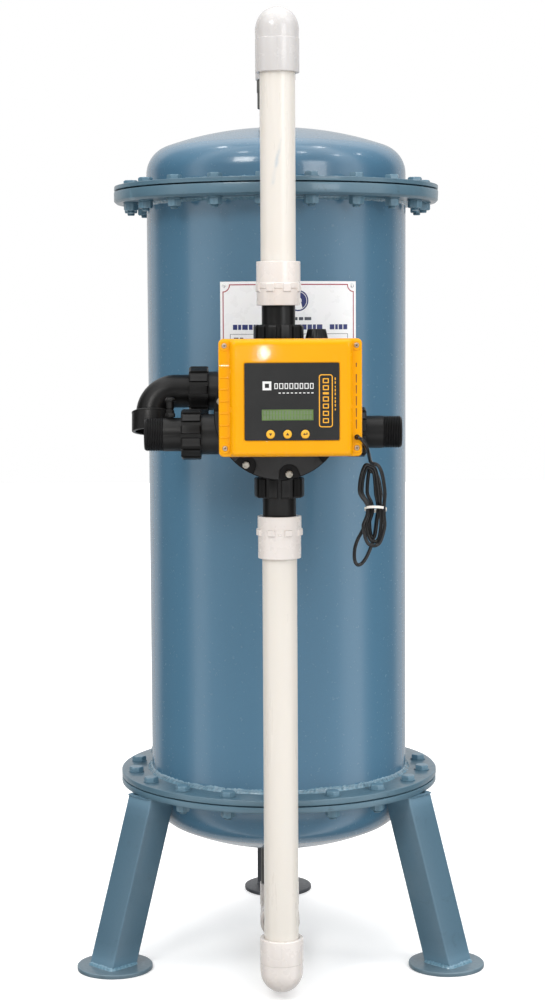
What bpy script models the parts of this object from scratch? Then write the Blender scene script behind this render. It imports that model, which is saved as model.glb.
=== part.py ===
"""Automatic water softener: flanged steel vessel on three legs, uPVC pipework and a
motorised multiport valve with its controller.

Metres, +Z up. The origin is on the floor, in the middle of the space the softener
takes up. The valve and its controller are at the front, towards -Y, with the inlet on
the left, towards -X. Sizes below are in millimetres, and places are measured from the
vessel's axis, which an empty then sets VESSEL_Y behind the origin.

A "depth" is a distance in front of the vessel's axis, so that y = -depth. An azimuth is
in degrees from the front, towards +X.
"""

import math
from collections import namedtuple

import bmesh
import bpy
from mathutils import Euler, Matrix, Vector

MM = 0.001
GAP = 0.3                 # clearance between touching pieces
CUT_OVER = 5.0            # how far most cutters reach past the surface they open
ROUND = 16                # steps round a pipe

UP, DOWN = (0, 0, 1), (0, 0, -1)
FRONT, BACK = (0, -1, 0), (0, 1, 0)
LEFT, RIGHT = (-1, 0, 0), (1, 0, 0)

VESSEL_Y = 31.6           # the vessel's axis, behind the middle of the whole

# ---- vessel -------------------------------------------------------------
VESSEL_R = 194.0          # outer radius of the shell
WALL = 5.0
INNER_R = VESSEL_R - WALL
VESSEL_STEPS = 30
FLANGE_R_TOP = 243.0
FLANGE_R_BOTTOM = 241.0
BOLT_CIRCLE_R = 220.0
FLANGE_HOLE_R = 9.2

# Each joint has an upper and a lower flange ring, as (low, high) heights.
Joint = namedtuple("Joint", "upper lower bolts bolt_offset")
TOP_JOINT = Joint((1146.2, 1152.2), (1127.0, 1144.1), bolts=20, bolt_offset=-5.5)
BOTTOM_JOINT = Joint((263.9, 272.0), (253.4, 261.8), bolts=18, bolt_offset=0.0)

TOP_DISH, BOTTOM_DISH = (500.0, 43.0), (392.0, 50.0)     # radii of crown and knuckle
SKIRT = 18.0              # straight part between dish and flange
NOZZLE_R, NOZZLE_BORE = 24.0, 19.0
TOP_NOZZLE_Z, BOTTOM_NOZZLE_Z = 1285.0, 118.5
RESIN_Z = (268.0, 880.0)

# ---- flange bolts, M12 --------------------------------------------------
BOLT_R, HEX_R = 6.0, 10.97
HEAD_T, NUT_T, BOLT_END = 7.5, 10.3, 15.5   # measured from the flange faces
BOLT_RING_HALF = 1.5      # half the width of the ring that links the bolts
BOLT_RING_INSET = 0.2     # the ring is this much thinner than the gasket, per face

# ---- legs ---------------------------------------------------------------
LEG_AZIMUTHS = {"front_left": -60.0, "front_right": 60.0, "rear": 180.0}
LEG_TOP_Z = BOTTOM_JOINT.lower[0]
LEG_TOP_R, LEG_FOOT_R, FOOT_CENTRE_R = 218.0, 286.0, 283.0
LEG_SIDE, LEG_WALL = 50.0, 4.0
FOOT_R, FOOT_T = 56.0, 6.0
DISH_CLEARANCE = 0.8      # between leg and bottom head

# ---- rating plate -------------------------------------------------------
PLATE_R, PLATE_T = 195.4, 1.2
PLATE_Z = (1008.0, 858.0)
PLATE_START, PLATE_SWEEP = -24.9, 60.0      # azimuth of the left edge, and angle covered
RIVET_AZIMUTHS, RIVET_INSET = (-22.9, 33.0), 5.5
RIVET_R, RIVET_REACH = 3.0, (195.3, 197.4)  # distances from the vessel's axis

# ---- pipework (1.5 inch, 48.3 mm outside) -------------------------------
PIPE_R, PIPE_BORE = 24.15, 20.0
SOCKET_R, FITTING_R = 24.7, 30.0
PIPE_Y = -285.0
TOP_PIPE_Z, BOTTOM_PIPE_Z = 1346.0, 40.0
ELBOW_LEG, SOCKET_DEPTH = 59.0, 26.0
TOP_REAR_LEG, TOP_REAR_DEPTH = 36.0, 16.3
BOTTOM_ELBOW_LEG, BOTTOM_DEPTH = 48.5, 23.5
UPPER_STOP, LOWER_STOP = 1005.0, 652.0      # shoulders the pipes meet in their adapters

# ---- valve --------------------------------------------------------------
VALVE_Z = 826.0
VALVE_STEPS, CHAMBER_STEPS = 28, 24
DRUM_R, FLANGE_R = 76.0, 88.5
BODY_FACE = 334.0                           # depths of the body's and cover's faces
COVER_BACK, COVER_FACE = 335.2, 346.0
CHAMBER_R, CHAMBER_FLOOR = 64.0, 290.0
PORT_R = 28.0
FLOW_R = 17.0             # flow ways in ports and tails
NUT_R, NUT_BORE, LIP_BORE = 34.6, 28.7, 23.6
TAIL_FLANGE_T, LIP_START = 5.0, 5.4         # measured from the seat
INLET_Y, INLET_Z = -304.0, 798.0
DRAIN_Y, DRAIN_Z = -236.0, 854.9
OUTLET_Y, OUTLET_Z = -250.0, 797.2

# Distances are measured from the centre, along the direction the port faces.
Port = namedtuple("Port", "centre direction seat nut_back nut_front tail_end tail_r",
                  defaults=(None, None))
PORTS = {
    "top": Port((0, PIPE_Y, 0), UP, 934.5, 918.5, 946.7, 1000.7, 23.0),
    "bottom": Port((0, PIPE_Y, 0), DOWN, -721.6, -737.0, -709.8, -656.3, 23.0),
    "inlet": Port((0, INLET_Y, INLET_Z), LEFT, 121.3, 106.3, 133.6, 184.0, 22.9),
    "outlet": Port((0, OUTLET_Y, OUTLET_Z), RIGHT, 108.8, 95.0, 121.4, 171.0, 22.6),
    "drain": Port((0, DRAIN_Y, DRAIN_Z), LEFT, 112.0, 97.8, 124.6),
}

DRAIN_BEND_X, DRAIN_BEND_R = -143.6, 32.0
DRAIN_LEAN = math.radians(14)               # towards the front
DRAIN_PIPE_R, DRAIN_COLLAR_R, DRAIN_SOCKET_R = 23.0, 29.2, 23.4
BRINE_X = -148.7
INJECTOR_X = 52.2
INJECTOR_CAP_Z = 912.2    # rim of the cap

COVER_BOLT_R = 81.5       # bolt circle; angles from straight down, towards +X
COVER_BOLT_ANGLES = (9.0, 52.0, 95.0, 138.0, 180.0, -146.0, -103.0, -34.0)
COVER_HOLE_R = 4.3
COVER_RING_HALF = 1.1

# disc and body openings: way in from outlet and drain at +-SIDE_WAY_X
SIDE_WAY_X, SIDE_WAY_R = 24.0, 10.0
DISC_PORT_R, DISC_PORT_OFFSET = 9.0, 44.0

# ---- drive --------------------------------------------------------------
MODULE, GEAR_TEETH, PINION_TEETH = 2.5, 24, 8
PINION_X = MODULE * (GEAR_TEETH + PINION_TEETH) / 2 + 0.3
SHAFT_R, SHAFT_CLEARANCE, SHAFT_END = 6.0, 0.35, 363.6
MOTOR_R, MOTOR_DEPTH = 24.0, (364.6, 382.0)
PINION_SHAFT_R = 3.0
MOTOR_FOOT_R, MOTOR_FOOT_X, MOTOR_FOOT_Z = 3.5, 13.0, 17.0     # places from the pinion

# ---- controller ---------------------------------------------------------
BOX_X, BOX_Z = (-81.0, 109.5), (772.0, 928.5)
BASE_BACK, BASE_RIM, LID_RIM = 352.0, 365.6, 367.0             # depths
STRIP_FACE, LID_FACE = 388.0, 400.0
CASE_WALL, BASE_FLOOR = 3.0, 2.5
CASE_BEVEL, HUMP_BEVEL = 6.0, 3.0
HUMP_X, HUMP_INSET_Z, HUMP_HOLLOW_INSET_Z = (-66.0, 96.6), 0.6, 5.0
PANEL_X, PANEL_Z, PANEL_FRONT = (-46.4, 78.5), (794.8, 896.8), 1.3
LCD_X, LCD_Z = (-23.9, 44.5), (821.0, 835.6)
LCD_MARGIN_X, LCD_MARGIN_Z, LCD_DEPTH = 5.0, 6.0, (387.0, 396.6)
BOARD_X, BOARD_Z, BOARD_DEPTH = (-58.0, 90.0), (790.0, 905.0), (385.0, 386.6)
BUTTONS = {"button_down": -12.4, "button_up": 10.1, "button_enter": 33.5}
BUTTON_Z, BUTTON_R, BUTTON_FACE = 802.8, 5.8, 402.2
SCREWS = ((-73.0, 919.5), (101.9, 919.5), (-72.6, 783.6), (102.2, 783.6))   # (x, z)
FRAME_DEPTH = (365.7, 366.7)                # thin frame that links the lid screws

# ---- power cable --------------------------------------------------------
CABLE_R = 2.5
CABLE_X, CABLE_Z = 102.5, 797.8             # where it leaves the lid
COIL_X, COIL_TOP, COIL_BOTTOM = 124.0, 760.0, 648.0
COIL_TURNS, COIL_STEPS = 3, 12              # whole turns, and points on each
COIL_FRONT, COIL_PITCH = -350.0, 7.0        # y of the first turn, and y between turns
WAIST_Z, WAIST_HALF, TIE_R = 697.0, 11.0, (21.2, 22.8)
UPPER_BULGE, LOWER_BULGE = 8.0, 2.5         # added to the half width of the lobes


# ========================= scene and materials ==========================
for old in list(bpy.data.objects):
    bpy.data.objects.remove(old, do_unlink=True)

parts = bpy.data.collections.new("water_softener")
cutters = bpy.data.collections.new("cutters")
bpy.context.scene.collection.children.link(parts)
bpy.context.scene.collection.children.link(cutters)


def material(name, colour, roughness, metallic=0.0):
    mat = bpy.data.materials.new(name)
    mat.use_nodes = True
    shader = mat.node_tree.nodes["Principled BSDF"]
    shader.inputs["Base Color"].default_value = (*colour, 1.0)
    shader.inputs["Roughness"].default_value = roughness
    shader.inputs["Metallic"].default_value = metallic
    return mat


BLUE = material("blue_enamel", colour=(0.10, 0.22, 0.31), roughness=0.3)
DARK = material("dark_paint", colour=(0.045, 0.05, 0.06), roughness=0.5)
WHITE = material("white_upvc", colour=(0.80, 0.77, 0.72), roughness=0.35)
BLACK = material("black_plastic", colour=(0.02, 0.02, 0.02), roughness=0.45)
GREY = material("grey_fitting", colour=(0.10, 0.10, 0.09), roughness=0.5)
YELLOW = material("yellow_cover", colour=(1.0, 0.50, 0.02), roughness=0.3)
PANEL = material("dark_panel", colour=(0.06, 0.06, 0.065), roughness=0.4)
GLASS = material("lcd", colour=(0.25, 0.35, 0.12), roughness=0.2)
STEEL = material("zinc_steel", colour=(0.60, 0.60, 0.58), roughness=0.35, metallic=1.0)
PLATE = material("white_plate", colour=(0.85, 0.86, 0.87), roughness=0.3)
RUBBER = material("rubber", colour=(0.02, 0.02, 0.02), roughness=0.8)
RESIN = material("resin_beads", colour=(0.45, 0.22, 0.06), roughness=0.6)
BOARD = material("circuit_board", colour=(0.02, 0.15, 0.06), roughness=0.5)
ACETAL = material("acetal", colour=(0.70, 0.68, 0.62), roughness=0.5)


# ========================= shared tools =================================
def sort_in(obj, mat):
    """An object with a material is a part; one without is a tool for booleans."""
    for home in list(obj.users_collection):
        home.objects.unlink(obj)
    if mat:
        parts.objects.link(obj)
        obj.data.materials.append(mat)
    else:
        cutters.objects.link(obj)
        obj.hide_render = True
        obj.display_type = "WIRE"
    return obj


def add(name, data, mat=None):
    return sort_in(bpy.data.objects.new(name, data), mat)


def take_active(name, mat):
    """Name and sort in the primitive that was just added."""
    obj = bpy.context.active_object
    obj.name = name
    return sort_in(obj, mat)


def aim(direction):
    """The rotation that turns +Z to a direction, with no roll for the main axes."""
    unit = Vector(direction).normalized()
    turns = {
        UP: Euler((0, 0, 0)), DOWN: Euler((math.pi, 0, 0)),
        FRONT: Euler((math.pi / 2, 0, 0)), BACK: Euler((-math.pi / 2, 0, 0)),
        RIGHT: Euler((0, math.pi / 2, 0)), LEFT: Euler((0, -math.pi / 2, 0)),
    }
    nearest = tuple(round(c) for c in unit)
    if (unit - Vector(nearest)).length < 1e-6:
        return turns[nearest]
    return unit.to_track_quat("Z", "Y").to_euler()


def place(obj, centre, direction):
    obj.location = Vector(centre) * MM
    obj.rotation_euler = aim(direction)
    return obj


def bake(obj):
    """Modifiers or curve made real. A curve is replaced by a mesh object of its name."""
    bpy.context.view_layer.update()
    graph = bpy.context.evaluated_depsgraph_get()
    mesh = bpy.data.meshes.new_from_object(obj.evaluated_get(graph))
    mats = list(obj.data.materials)
    if obj.type == "MESH":
        obj.modifiers.clear()
        obj.data = mesh
        made = obj
    else:
        name = obj.name
        made = bpy.data.objects.new(name, mesh)
        made.matrix_world = obj.matrix_world.copy()
        for home in obj.users_collection:
            home.objects.link(made)
        made.hide_render, made.display_type = obj.hide_render, obj.display_type
        bpy.data.objects.remove(obj, do_unlink=True)
        made.name = name
    bm = bmesh.new()
    bm.from_mesh(mesh)
    bmesh.ops.remove_doubles(bm, verts=bm.verts, dist=1e-6)
    bm.to_mesh(mesh)
    bm.free()
    # the new mesh may come without its materials
    if not mesh.materials:
        for mat in mats:
            mesh.materials.append(mat)
    return made


def turned(name, profile, mat=None, centre=(0, 0, 0), direction=UP, steps=ROUND, start=0.0):
    """A profile of (radius, height) points turned round a direction through centre.
    A profile that starts on the axis stays open; any other is closed to make a ring."""
    mesh = bpy.data.meshes.new(name)
    turn = Matrix.Rotation(math.radians(start), 3, "Z")
    points = [turn @ Vector((r, 0, z)) * MM for r, z in profile]
    edges = [(i, i + 1) for i in range(len(points) - 1)]
    if profile[0][0] > 0:
        edges.append((len(points) - 1, 0))
    mesh.from_pydata(points, edges, [])
    obj = add(name, mesh, mat)
    screw = obj.modifiers.new("turn", "SCREW")
    screw.axis = "Z"
    screw.angle = math.radians(360.0)
    screw.steps = screw.render_steps = steps
    screw.use_merge_vertices = True
    screw.merge_threshold = 1e-6
    screw.use_smooth_shade = True
    place(obj, centre, direction)
    return bake(obj)


def tube(name, outer, bore, low, high, mat, centre=(0, 0, 0), direction=UP, steps=ROUND):
    profile = [(outer, high), (outer, low), (bore, low), (bore, high)]
    return turned(name, profile, mat, centre, direction, steps)


def rod(name, radius, low, high, mat=None, centre=(0, 0, 0), direction=UP, steps=ROUND):
    """A cylinder between two distances along a direction through centre."""
    bpy.ops.mesh.primitive_cone_add(
        vertices=steps, radius1=radius * MM, radius2=radius * MM,
        depth=(high - low) * MM, end_fill_type="NGON")
    obj = take_active(name, mat)
    middle = Vector(centre) + Vector(direction).normalized() * (low + high) / 2
    return place(obj, middle, direction)


def front_rod(name, radius, low, high, mat=None, x=0.0, z=VALVE_Z, steps=8):
    """A cylinder that points to the front, between two depths."""
    return rod(name, radius, low, high, mat, (x, 0, z), FRONT, steps)


def box(name, x, depth, z, mat=None, bevel=0.0):
    """A box from ranges of x, depth and z, with its edges along Y bevelled if asked."""
    bpy.ops.mesh.primitive_cube_add(size=1.0)
    obj = take_active(name, mat)
    ranges = (x, (-depth[1], -depth[0]), z)
    size = [(high - low) * MM for low, high in ranges]
    obj.data.transform(Matrix.Diagonal((*size, 1.0)))
    obj.location = [(low + high) / 2 * MM for low, high in ranges]
    if bevel:
        weights = obj.data.attributes.new("bevel_weight_edge", "FLOAT", "EDGE")
        for i, edge in enumerate(obj.data.edges):
            start, end = (obj.data.vertices[v].co for v in edge.vertices)
            weights.data[i].value = 1.0 if abs((start - end).normalized().y) > 0.9 else 0.0
        mod = obj.modifiers.new("edges", "BEVEL")
        mod.width = bevel * MM
        mod.segments = 2
        mod.limit_method = "WEIGHT"
        obj = bake(obj)
    return obj


def ball(name, radius, centre):
    """A sphere, as a tool."""
    bpy.ops.mesh.primitive_uv_sphere_add(segments=ROUND, ring_count=ROUND // 2,
                                         radius=radius * MM)
    obj = take_active(name, None)
    obj.location = Vector(centre) * MM
    return obj


def swept(name, points, radius, mat=None, resolution=3):
    """A round section swept along straight runs between points."""
    curve = bpy.data.curves.new(name, "CURVE")
    curve.dimensions = "3D"
    curve.bevel_depth = radius * MM
    curve.bevel_resolution = resolution
    curve.use_fill_caps = True
    spline = curve.splines.new("POLY")
    spline.points.add(len(points) - 1)
    for point, spot in zip(spline.points, points):
        point.co = (*(Vector(spot) * MM), 1.0)
    return bake(add(name, curve, mat))


def combine(target, tools, operation):
    for tool in tools:
        mod = target.modifiers.new("combine", "BOOLEAN")
        mod.operation = operation
        mod.object = tool
    return bake(target)


def cut(target, *tools):
    return combine(target, tools, "DIFFERENCE")


def join(target, *tools):
    return combine(target, tools, "UNION")


def around(azimuth, radius, z=0.0):
    """The point at an azimuth and radius from the vessel's axis."""
    a = math.radians(azimuth)
    return Vector((radius * math.sin(a), -radius * math.cos(a), z))


def repeated(name, source, transforms):
    """Copies of the source's mesh in a single tool, which replaces the source."""
    bm = bmesh.new()
    for matrix in transforms:
        piece = source.data.copy()
        piece.transform(matrix)
        bm.from_mesh(piece)
        bpy.data.meshes.remove(piece)
    mesh = bpy.data.meshes.new(name)
    bm.to_mesh(mesh)
    bm.free()
    bpy.data.objects.remove(source, do_unlink=True)
    return add(name, mesh)


def inset(span, margin):
    """A (low, high) range made smaller at both ends; a negative margin widens it."""
    return span[0] + margin, span[1] - margin


# ========================= vessel =======================================
def head_arc(dish, shrink=0.0, knuckle_steps=3, crown_steps=3, r_inner=NOZZLE_R):
    """Crown and knuckle of a dished head, as (radius, height above the skirt's end)."""
    crown_r, knuckle_r = dish
    knuckle = knuckle_r - shrink
    crown = crown_r - shrink
    across = VESSEL_R - knuckle_r
    rise = math.sqrt((crown_r - knuckle_r) ** 2 - across ** 2)
    tilt = math.atan2(rise, across)
    edge = crown * math.cos(tilt)
    points = []
    for i in range(crown_steps + 1):
        r = r_inner + (edge - r_inner) * i / crown_steps
        points.append((r, math.sqrt(crown ** 2 - r ** 2) - rise))
    for i in range(1, knuckle_steps + 1):
        a = tilt * (1 - i / knuckle_steps)
        points.append((across + knuckle * math.cos(a), knuckle * math.sin(a)))
    return points


def bolt_places(joint):
    places = []
    for k in range(joint.bolts):
        azimuth = joint.bolt_offset + 360.0 / joint.bolts * k
        places.append(Matrix.Translation(around(azimuth, BOLT_CIRCLE_R) * MM)
                      @ Matrix.Rotation(math.radians(azimuth), 4, "Z"))
    return places


def flange_holes(name, joint, flange):
    """Square holes through one of a joint's flange rings."""
    low, high = inset(flange, -CUT_OVER)
    one = rod(name + "_one", FLANGE_HOLE_R, low, high, steps=4)
    one.data.transform(Matrix.Rotation(math.radians(45), 4, "Z"))
    middle = Matrix.Translation((0, 0, (low + high) / 2 * MM))
    return repeated(name, one, [spot @ middle for spot in bolt_places(joint)])


def dished_head(name, dish, joint, flange, flange_r, nozzle_z, up):
    """Nozzle, dish, skirt and flange ring; up is 1 for the top head, -1 for the bottom."""
    joint_face, outer_face = flange[::up]
    skirt_end = outer_face + up * SKIRT
    inner_arc = head_arc(dish, WALL, 2, 2, NOZZLE_BORE)
    outer = [(r, skirt_end + up * h) for r, h in head_arc(dish)]
    inner = [(r, skirt_end + up * h) for r, h in inner_arc]
    profile = [(NOZZLE_R, nozzle_z), *outer,
               (VESSEL_R, outer_face), (flange_r, outer_face),
               (flange_r, joint_face), (INNER_R, joint_face),
               *inner[::-1], (NOZZLE_BORE, nozzle_z)]
    head = turned(name, profile[::up], BLUE, steps=VESSEL_STEPS)
    cut(head, flange_holes(name + "_holes", joint, flange))


def build_shell():
    """The straight shell, with a flange ring at each end."""
    top_low, top_high = TOP_JOINT.lower
    bottom_low, bottom_high = BOTTOM_JOINT.upper
    shell = turned(
        "shell",
        [(FLANGE_R_TOP, top_high), (FLANGE_R_TOP, top_low),
         (VESSEL_R, top_low), (VESSEL_R, bottom_high),
         (FLANGE_R_BOTTOM, bottom_high), (FLANGE_R_BOTTOM, bottom_low),
         (INNER_R, bottom_low), (INNER_R, top_high)],
        BLUE, steps=VESSEL_STEPS)
    cut(shell,
        flange_holes("shell_top_holes", TOP_JOINT, TOP_JOINT.lower),
        flange_holes("shell_bottom_holes", BOTTOM_JOINT, BOTTOM_JOINT.upper))


def build_joint(end, joint):
    """The gasket inside the bolt circle, and the hexagon bolts with their nuts, linked
    by a thin ring in the joint's gap."""
    gasket_low, gasket_high = joint.lower[1] + GAP, joint.upper[0] - GAP
    tube(end + "_gasket", 208, 190, gasket_low, gasket_high, RUBBER, steps=VESSEL_STEPS)

    name = end + "_flange_bolts"
    head_face, nut_face = joint.upper[1], joint.lower[0]
    one = turned(
        name + "_one",
        [(0, head_face + HEAD_T), (HEX_R, head_face + HEAD_T),
         (HEX_R, head_face + GAP), (BOLT_R, head_face + GAP),
         (BOLT_R, nut_face - GAP), (HEX_R, nut_face - GAP),
         (HEX_R, nut_face - NUT_T), (BOLT_R, nut_face - BOLT_END), (0, nut_face - BOLT_END)],
        steps=6)
    many = repeated(name + "_many", one, bolt_places(joint))
    ring_low, ring_high = inset((gasket_low, gasket_high), BOLT_RING_INSET)
    ring = turned(
        name,
        [(BOLT_CIRCLE_R + BOLT_RING_HALF, ring_high),
         (BOLT_CIRCLE_R + BOLT_RING_HALF, ring_low),
         (BOLT_CIRCLE_R - BOLT_RING_HALF, ring_low)],
        BLUE, steps=joint.bolts, start=joint.bolt_offset)
    join(ring, many)


def build_filling():
    """A strainer in each nozzle, and the resin between them."""
    turned("top_strainer",
           [(18.4, 1262), (18.4, 1225), (28, 1225), (28, 1130), (15, 1130), (15, 1262)],
           WHITE, steps=12)
    turned("bottom_strainer",
           [(28, 258), (28, 182), (18.4, 182), (18.4, 142), (15, 142), (15, 258)],
           WHITE, steps=12)
    low, high = RESIN_Z
    radius = INNER_R - 0.7
    turned("resin_bed", [(0, high), (radius, high), (radius, low), (0, low)],
           RESIN, steps=VESSEL_STEPS)


def square_leg(name, azimuth, side, top, bottom, mat=None):
    """A square bar that slopes outwards to the floor, with a corner towards the front."""
    def radius(z):
        return LEG_FOOT_R + (LEG_TOP_R - LEG_FOOT_R) * (z - FOOT_T) / (LEG_TOP_Z - FOOT_T)

    half = (-side / 2, side / 2)
    obj = box(name, half, half, (-0.5, 0.5), mat)
    obj.data.transform(Matrix.Rotation(math.radians(45), 4, "Z"))
    for vertex in obj.data.vertices:
        z = top if vertex.co.z > 0 else bottom
        spot = around(azimuth, radius(z), z) * MM
        vertex.co = Vector((vertex.co.x + spot.x, vertex.co.y + spot.y, spot.z))
    return obj


def build_legs():
    """Square tubes cut to clear the bottom head, each on a round foot."""
    skirt_end = LEG_TOP_Z - SKIRT
    clear_r = VESSEL_R + DISH_CLEARANCE
    dish_clear = turned(
        "dish_clear",
        [(0, LEG_TOP_Z + 30), (clear_r, LEG_TOP_Z + 30), (clear_r, skirt_end)]
        + [(r + DISH_CLEARANCE, skirt_end - h - DISH_CLEARANCE)
           for r, h in head_arc(BOTTOM_DISH)[::-1]]
        + [(0, 150)],
        steps=VESSEL_STEPS)
    for side_name, azimuth in LEG_AZIMUTHS.items():
        paint = DARK if side_name == "rear" else BLUE
        leg = square_leg("leg_" + side_name, azimuth, LEG_SIDE,
                         LEG_TOP_Z - GAP, FOOT_T + GAP, paint)
        bore = square_leg("leg_bore_" + side_name, azimuth, LEG_SIDE - 2 * LEG_WALL,
                          LEG_TOP_Z + 20, -20)
        cut(leg, bore, dish_clear)
        rod("foot_" + side_name, FOOT_R, 0, FOOT_T, paint,
            centre=around(azimuth, FOOT_CENTRE_R), steps=24)


def build_rating_plate():
    """A thin sheet that follows the shell, with its four rivets."""
    mesh = bpy.data.meshes.new("rating_plate")
    turn = Matrix.Rotation(math.radians(-90 + PLATE_START), 3, "Z")
    edge = [turn @ Vector((PLATE_R * MM, 0, z * MM)) for z in PLATE_Z]
    mesh.from_pydata(edge, [(0, 1)], [])
    plate = add("rating_plate", mesh, PLATE)
    screw = plate.modifiers.new("turn", "SCREW")
    screw.angle = math.radians(PLATE_SWEEP)
    screw.steps = screw.render_steps = 12
    screw.use_merge_vertices = False
    sheet = plate.modifiers.new("sheet", "SOLIDIFY")
    sheet.thickness = PLATE_T * MM
    sheet.offset = 0.0
    plate = bake(plate)
    rivet_heights = (PLATE_Z[0] - RIVET_INSET, PLATE_Z[1] + RIVET_INSET)
    spots = [(azimuth, z) for z in rivet_heights for azimuth in RIVET_AZIMUTHS]
    for i, (azimuth, z) in enumerate(spots):
        join(plate, rod(f"rivet_{i}", RIVET_R, *RIVET_REACH, centre=(0, 0, z),
                        direction=around(azimuth, 1), steps=8))


# ========================= pipework =====================================
def elbow(name, corner, first, second):
    """A short elbow. Each end is (direction, length of leg, depth of socket)."""
    body = rod(name, FITTING_R, 0, first[1], WHITE, corner, first[0])
    join(body,
         rod(name + "_b", FITTING_R - 0.2, 0, second[1], None, corner, second[0]),
         ball(name + "_c", FITTING_R - 0.5, corner))
    # the first way is the narrower, and starts past the corner to meet all of the second
    ends = (("1", first, PIPE_BORE - 0.8, -9.0), ("2", second, PIPE_BORE - 0.5, 0.0))
    tools = []
    for tag, (direction, leg, depth), way_r, way_start in ends:
        tools.append(rod(name + "_s" + tag, SOCKET_R, leg - depth, leg + CUT_OVER, None,
                         corner, direction))
        tools.append(rod(name + "_w" + tag, way_r, way_start, leg, None,
                         corner, direction, steps=12))
    cut(body, *tools)


def build_elbows():
    top_end = (ELBOW_LEG, SOCKET_DEPTH)
    bottom_end = (BOTTOM_ELBOW_LEG, BOTTOM_DEPTH)
    elbow("top_front_elbow", (0, PIPE_Y, TOP_PIPE_Z), (DOWN, *top_end), (BACK, *top_end))
    elbow("top_rear_elbow", (0, 0, TOP_PIPE_Z),
          (DOWN, TOP_REAR_LEG, TOP_REAR_DEPTH), (FRONT, *top_end))
    elbow("bottom_front_elbow", (0, PIPE_Y, BOTTOM_PIPE_Z),
          (UP, *bottom_end), (BACK, *bottom_end))
    elbow("bottom_rear_elbow", (0, 0, BOTTOM_PIPE_Z), (UP, *bottom_end), (FRONT, *bottom_end))


def build_pipes():
    top_reach = ELBOW_LEG - SOCKET_DEPTH + GAP
    bottom_reach = BOTTOM_ELBOW_LEG - BOTTOM_DEPTH + GAP
    front_pipe = (0, PIPE_Y, 0)
    # name, low end, high end, centre, direction
    pipes = (
        ("top_cross_pipe", top_reach, -PIPE_Y - top_reach, (0, 0, TOP_PIPE_Z), FRONT),
        ("upper_pipe", UPPER_STOP + GAP, TOP_PIPE_Z - top_reach, front_pipe, UP),
        ("bottom_cross_pipe", bottom_reach, -PIPE_Y - bottom_reach,
         (0, 0, BOTTOM_PIPE_Z), FRONT),
        ("lower_pipe", BOTTOM_PIPE_Z + bottom_reach, LOWER_STOP - GAP, front_pipe, UP),
    )
    for name, low, high, centre, direction in pipes:
        tube(name, PIPE_R, PIPE_BORE, low, high, WHITE, centre, direction)


def build_adapters():
    # from the vessel's nozzles to the rear elbows
    turned("top_adapter",
           [(24.0, 1325.6), (24.0, 1309.7), (28, 1309.7), (28, 1268),
            (24.6, 1268), (24.6, 1285.3), (19, 1285.3), (19, 1325.6)], GREY)
    turned("bottom_adapter",
           [(28.6, 146), (28.6, 88.9), (24.0, 88.9), (24.0, 65.4),
            (19, 65.4), (19, 118.2), (24.6, 118.2), (24.6, 146)], GREY)
    # from the front pipes to the valve's tails, each with a raised collar
    turned("upper_adapter",
           [(30.3, 1033), (30.3, 1004), (32, 1003), (32, 992), (30, 991), (30, 973),
            (23.5, 973), (23.5, 1001), (20, 1001), (20, UPPER_STOP),
            (SOCKET_R, UPPER_STOP), (SOCKET_R, 1033)], WHITE, (0, PIPE_Y, 0))
    turned("lower_adapter",
           [(30.3, 684), (30.3, 667), (33, 666), (33, 657.5), (29.8, 656.5), (29.8, 625.5),
            (SOCKET_R, 625.5), (SOCKET_R, LOWER_STOP), (20, LOWER_STOP), (20, 656),
            (23.5, 656), (23.5, 684)], WHITE, (0, PIPE_Y, 0))


# ========================= valve ========================================
def tail(name, port):
    """A tail piece: a flange on the port's seat, and a plain end."""
    flange_end = port.seat + TAIL_FLANGE_T
    return turned(
        name + "_tail",
        [(port.tail_r, port.tail_end), (port.tail_r, flange_end), (PORT_R, flange_end),
         (PORT_R, port.seat), (FLOW_R, port.seat), (FLOW_R, port.tail_end)],
        BLACK, port.centre, port.direction)


def union_nut(name, port):
    """A union nut round the port, with a lip that holds the tail's flange."""
    lip = port.seat + LIP_START
    turned(name + "_union_nut",
           [(NUT_R, port.nut_front), (NUT_R, port.nut_back), (NUT_BORE, port.nut_back),
            (NUT_BORE, lip), (LIP_BORE, lip), (LIP_BORE, port.nut_front)],
           BLACK, port.centre, port.direction)


def build_unions():
    """A nut on every port and a tail in all but the drain's."""
    for name, port in PORTS.items():
        union_nut(name, port)
    for name in ("top", "bottom", "outlet"):
        tail(name, PORTS[name])
    inlet_tail = tail("inlet", PORTS["inlet"])
    # small brine connector on top of the inlet tail
    turned("brine_connector",
           [(0, 848.6), (7.0, 848.6), (7.0, 843.5), (5.6, 843.0), (5.6, 828), (7.0, 827.5),
            (7.0, 821.4), (3.4, 821.4), (3.4, 816.5), (0, 816.5)],
           BLACK, (BRINE_X, INLET_Y, 0), steps=12)
    cut(inlet_tail, rod("brine_hole", 4.0, 810, 830, None, (BRINE_X, INLET_Y, 0), steps=12))


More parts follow.
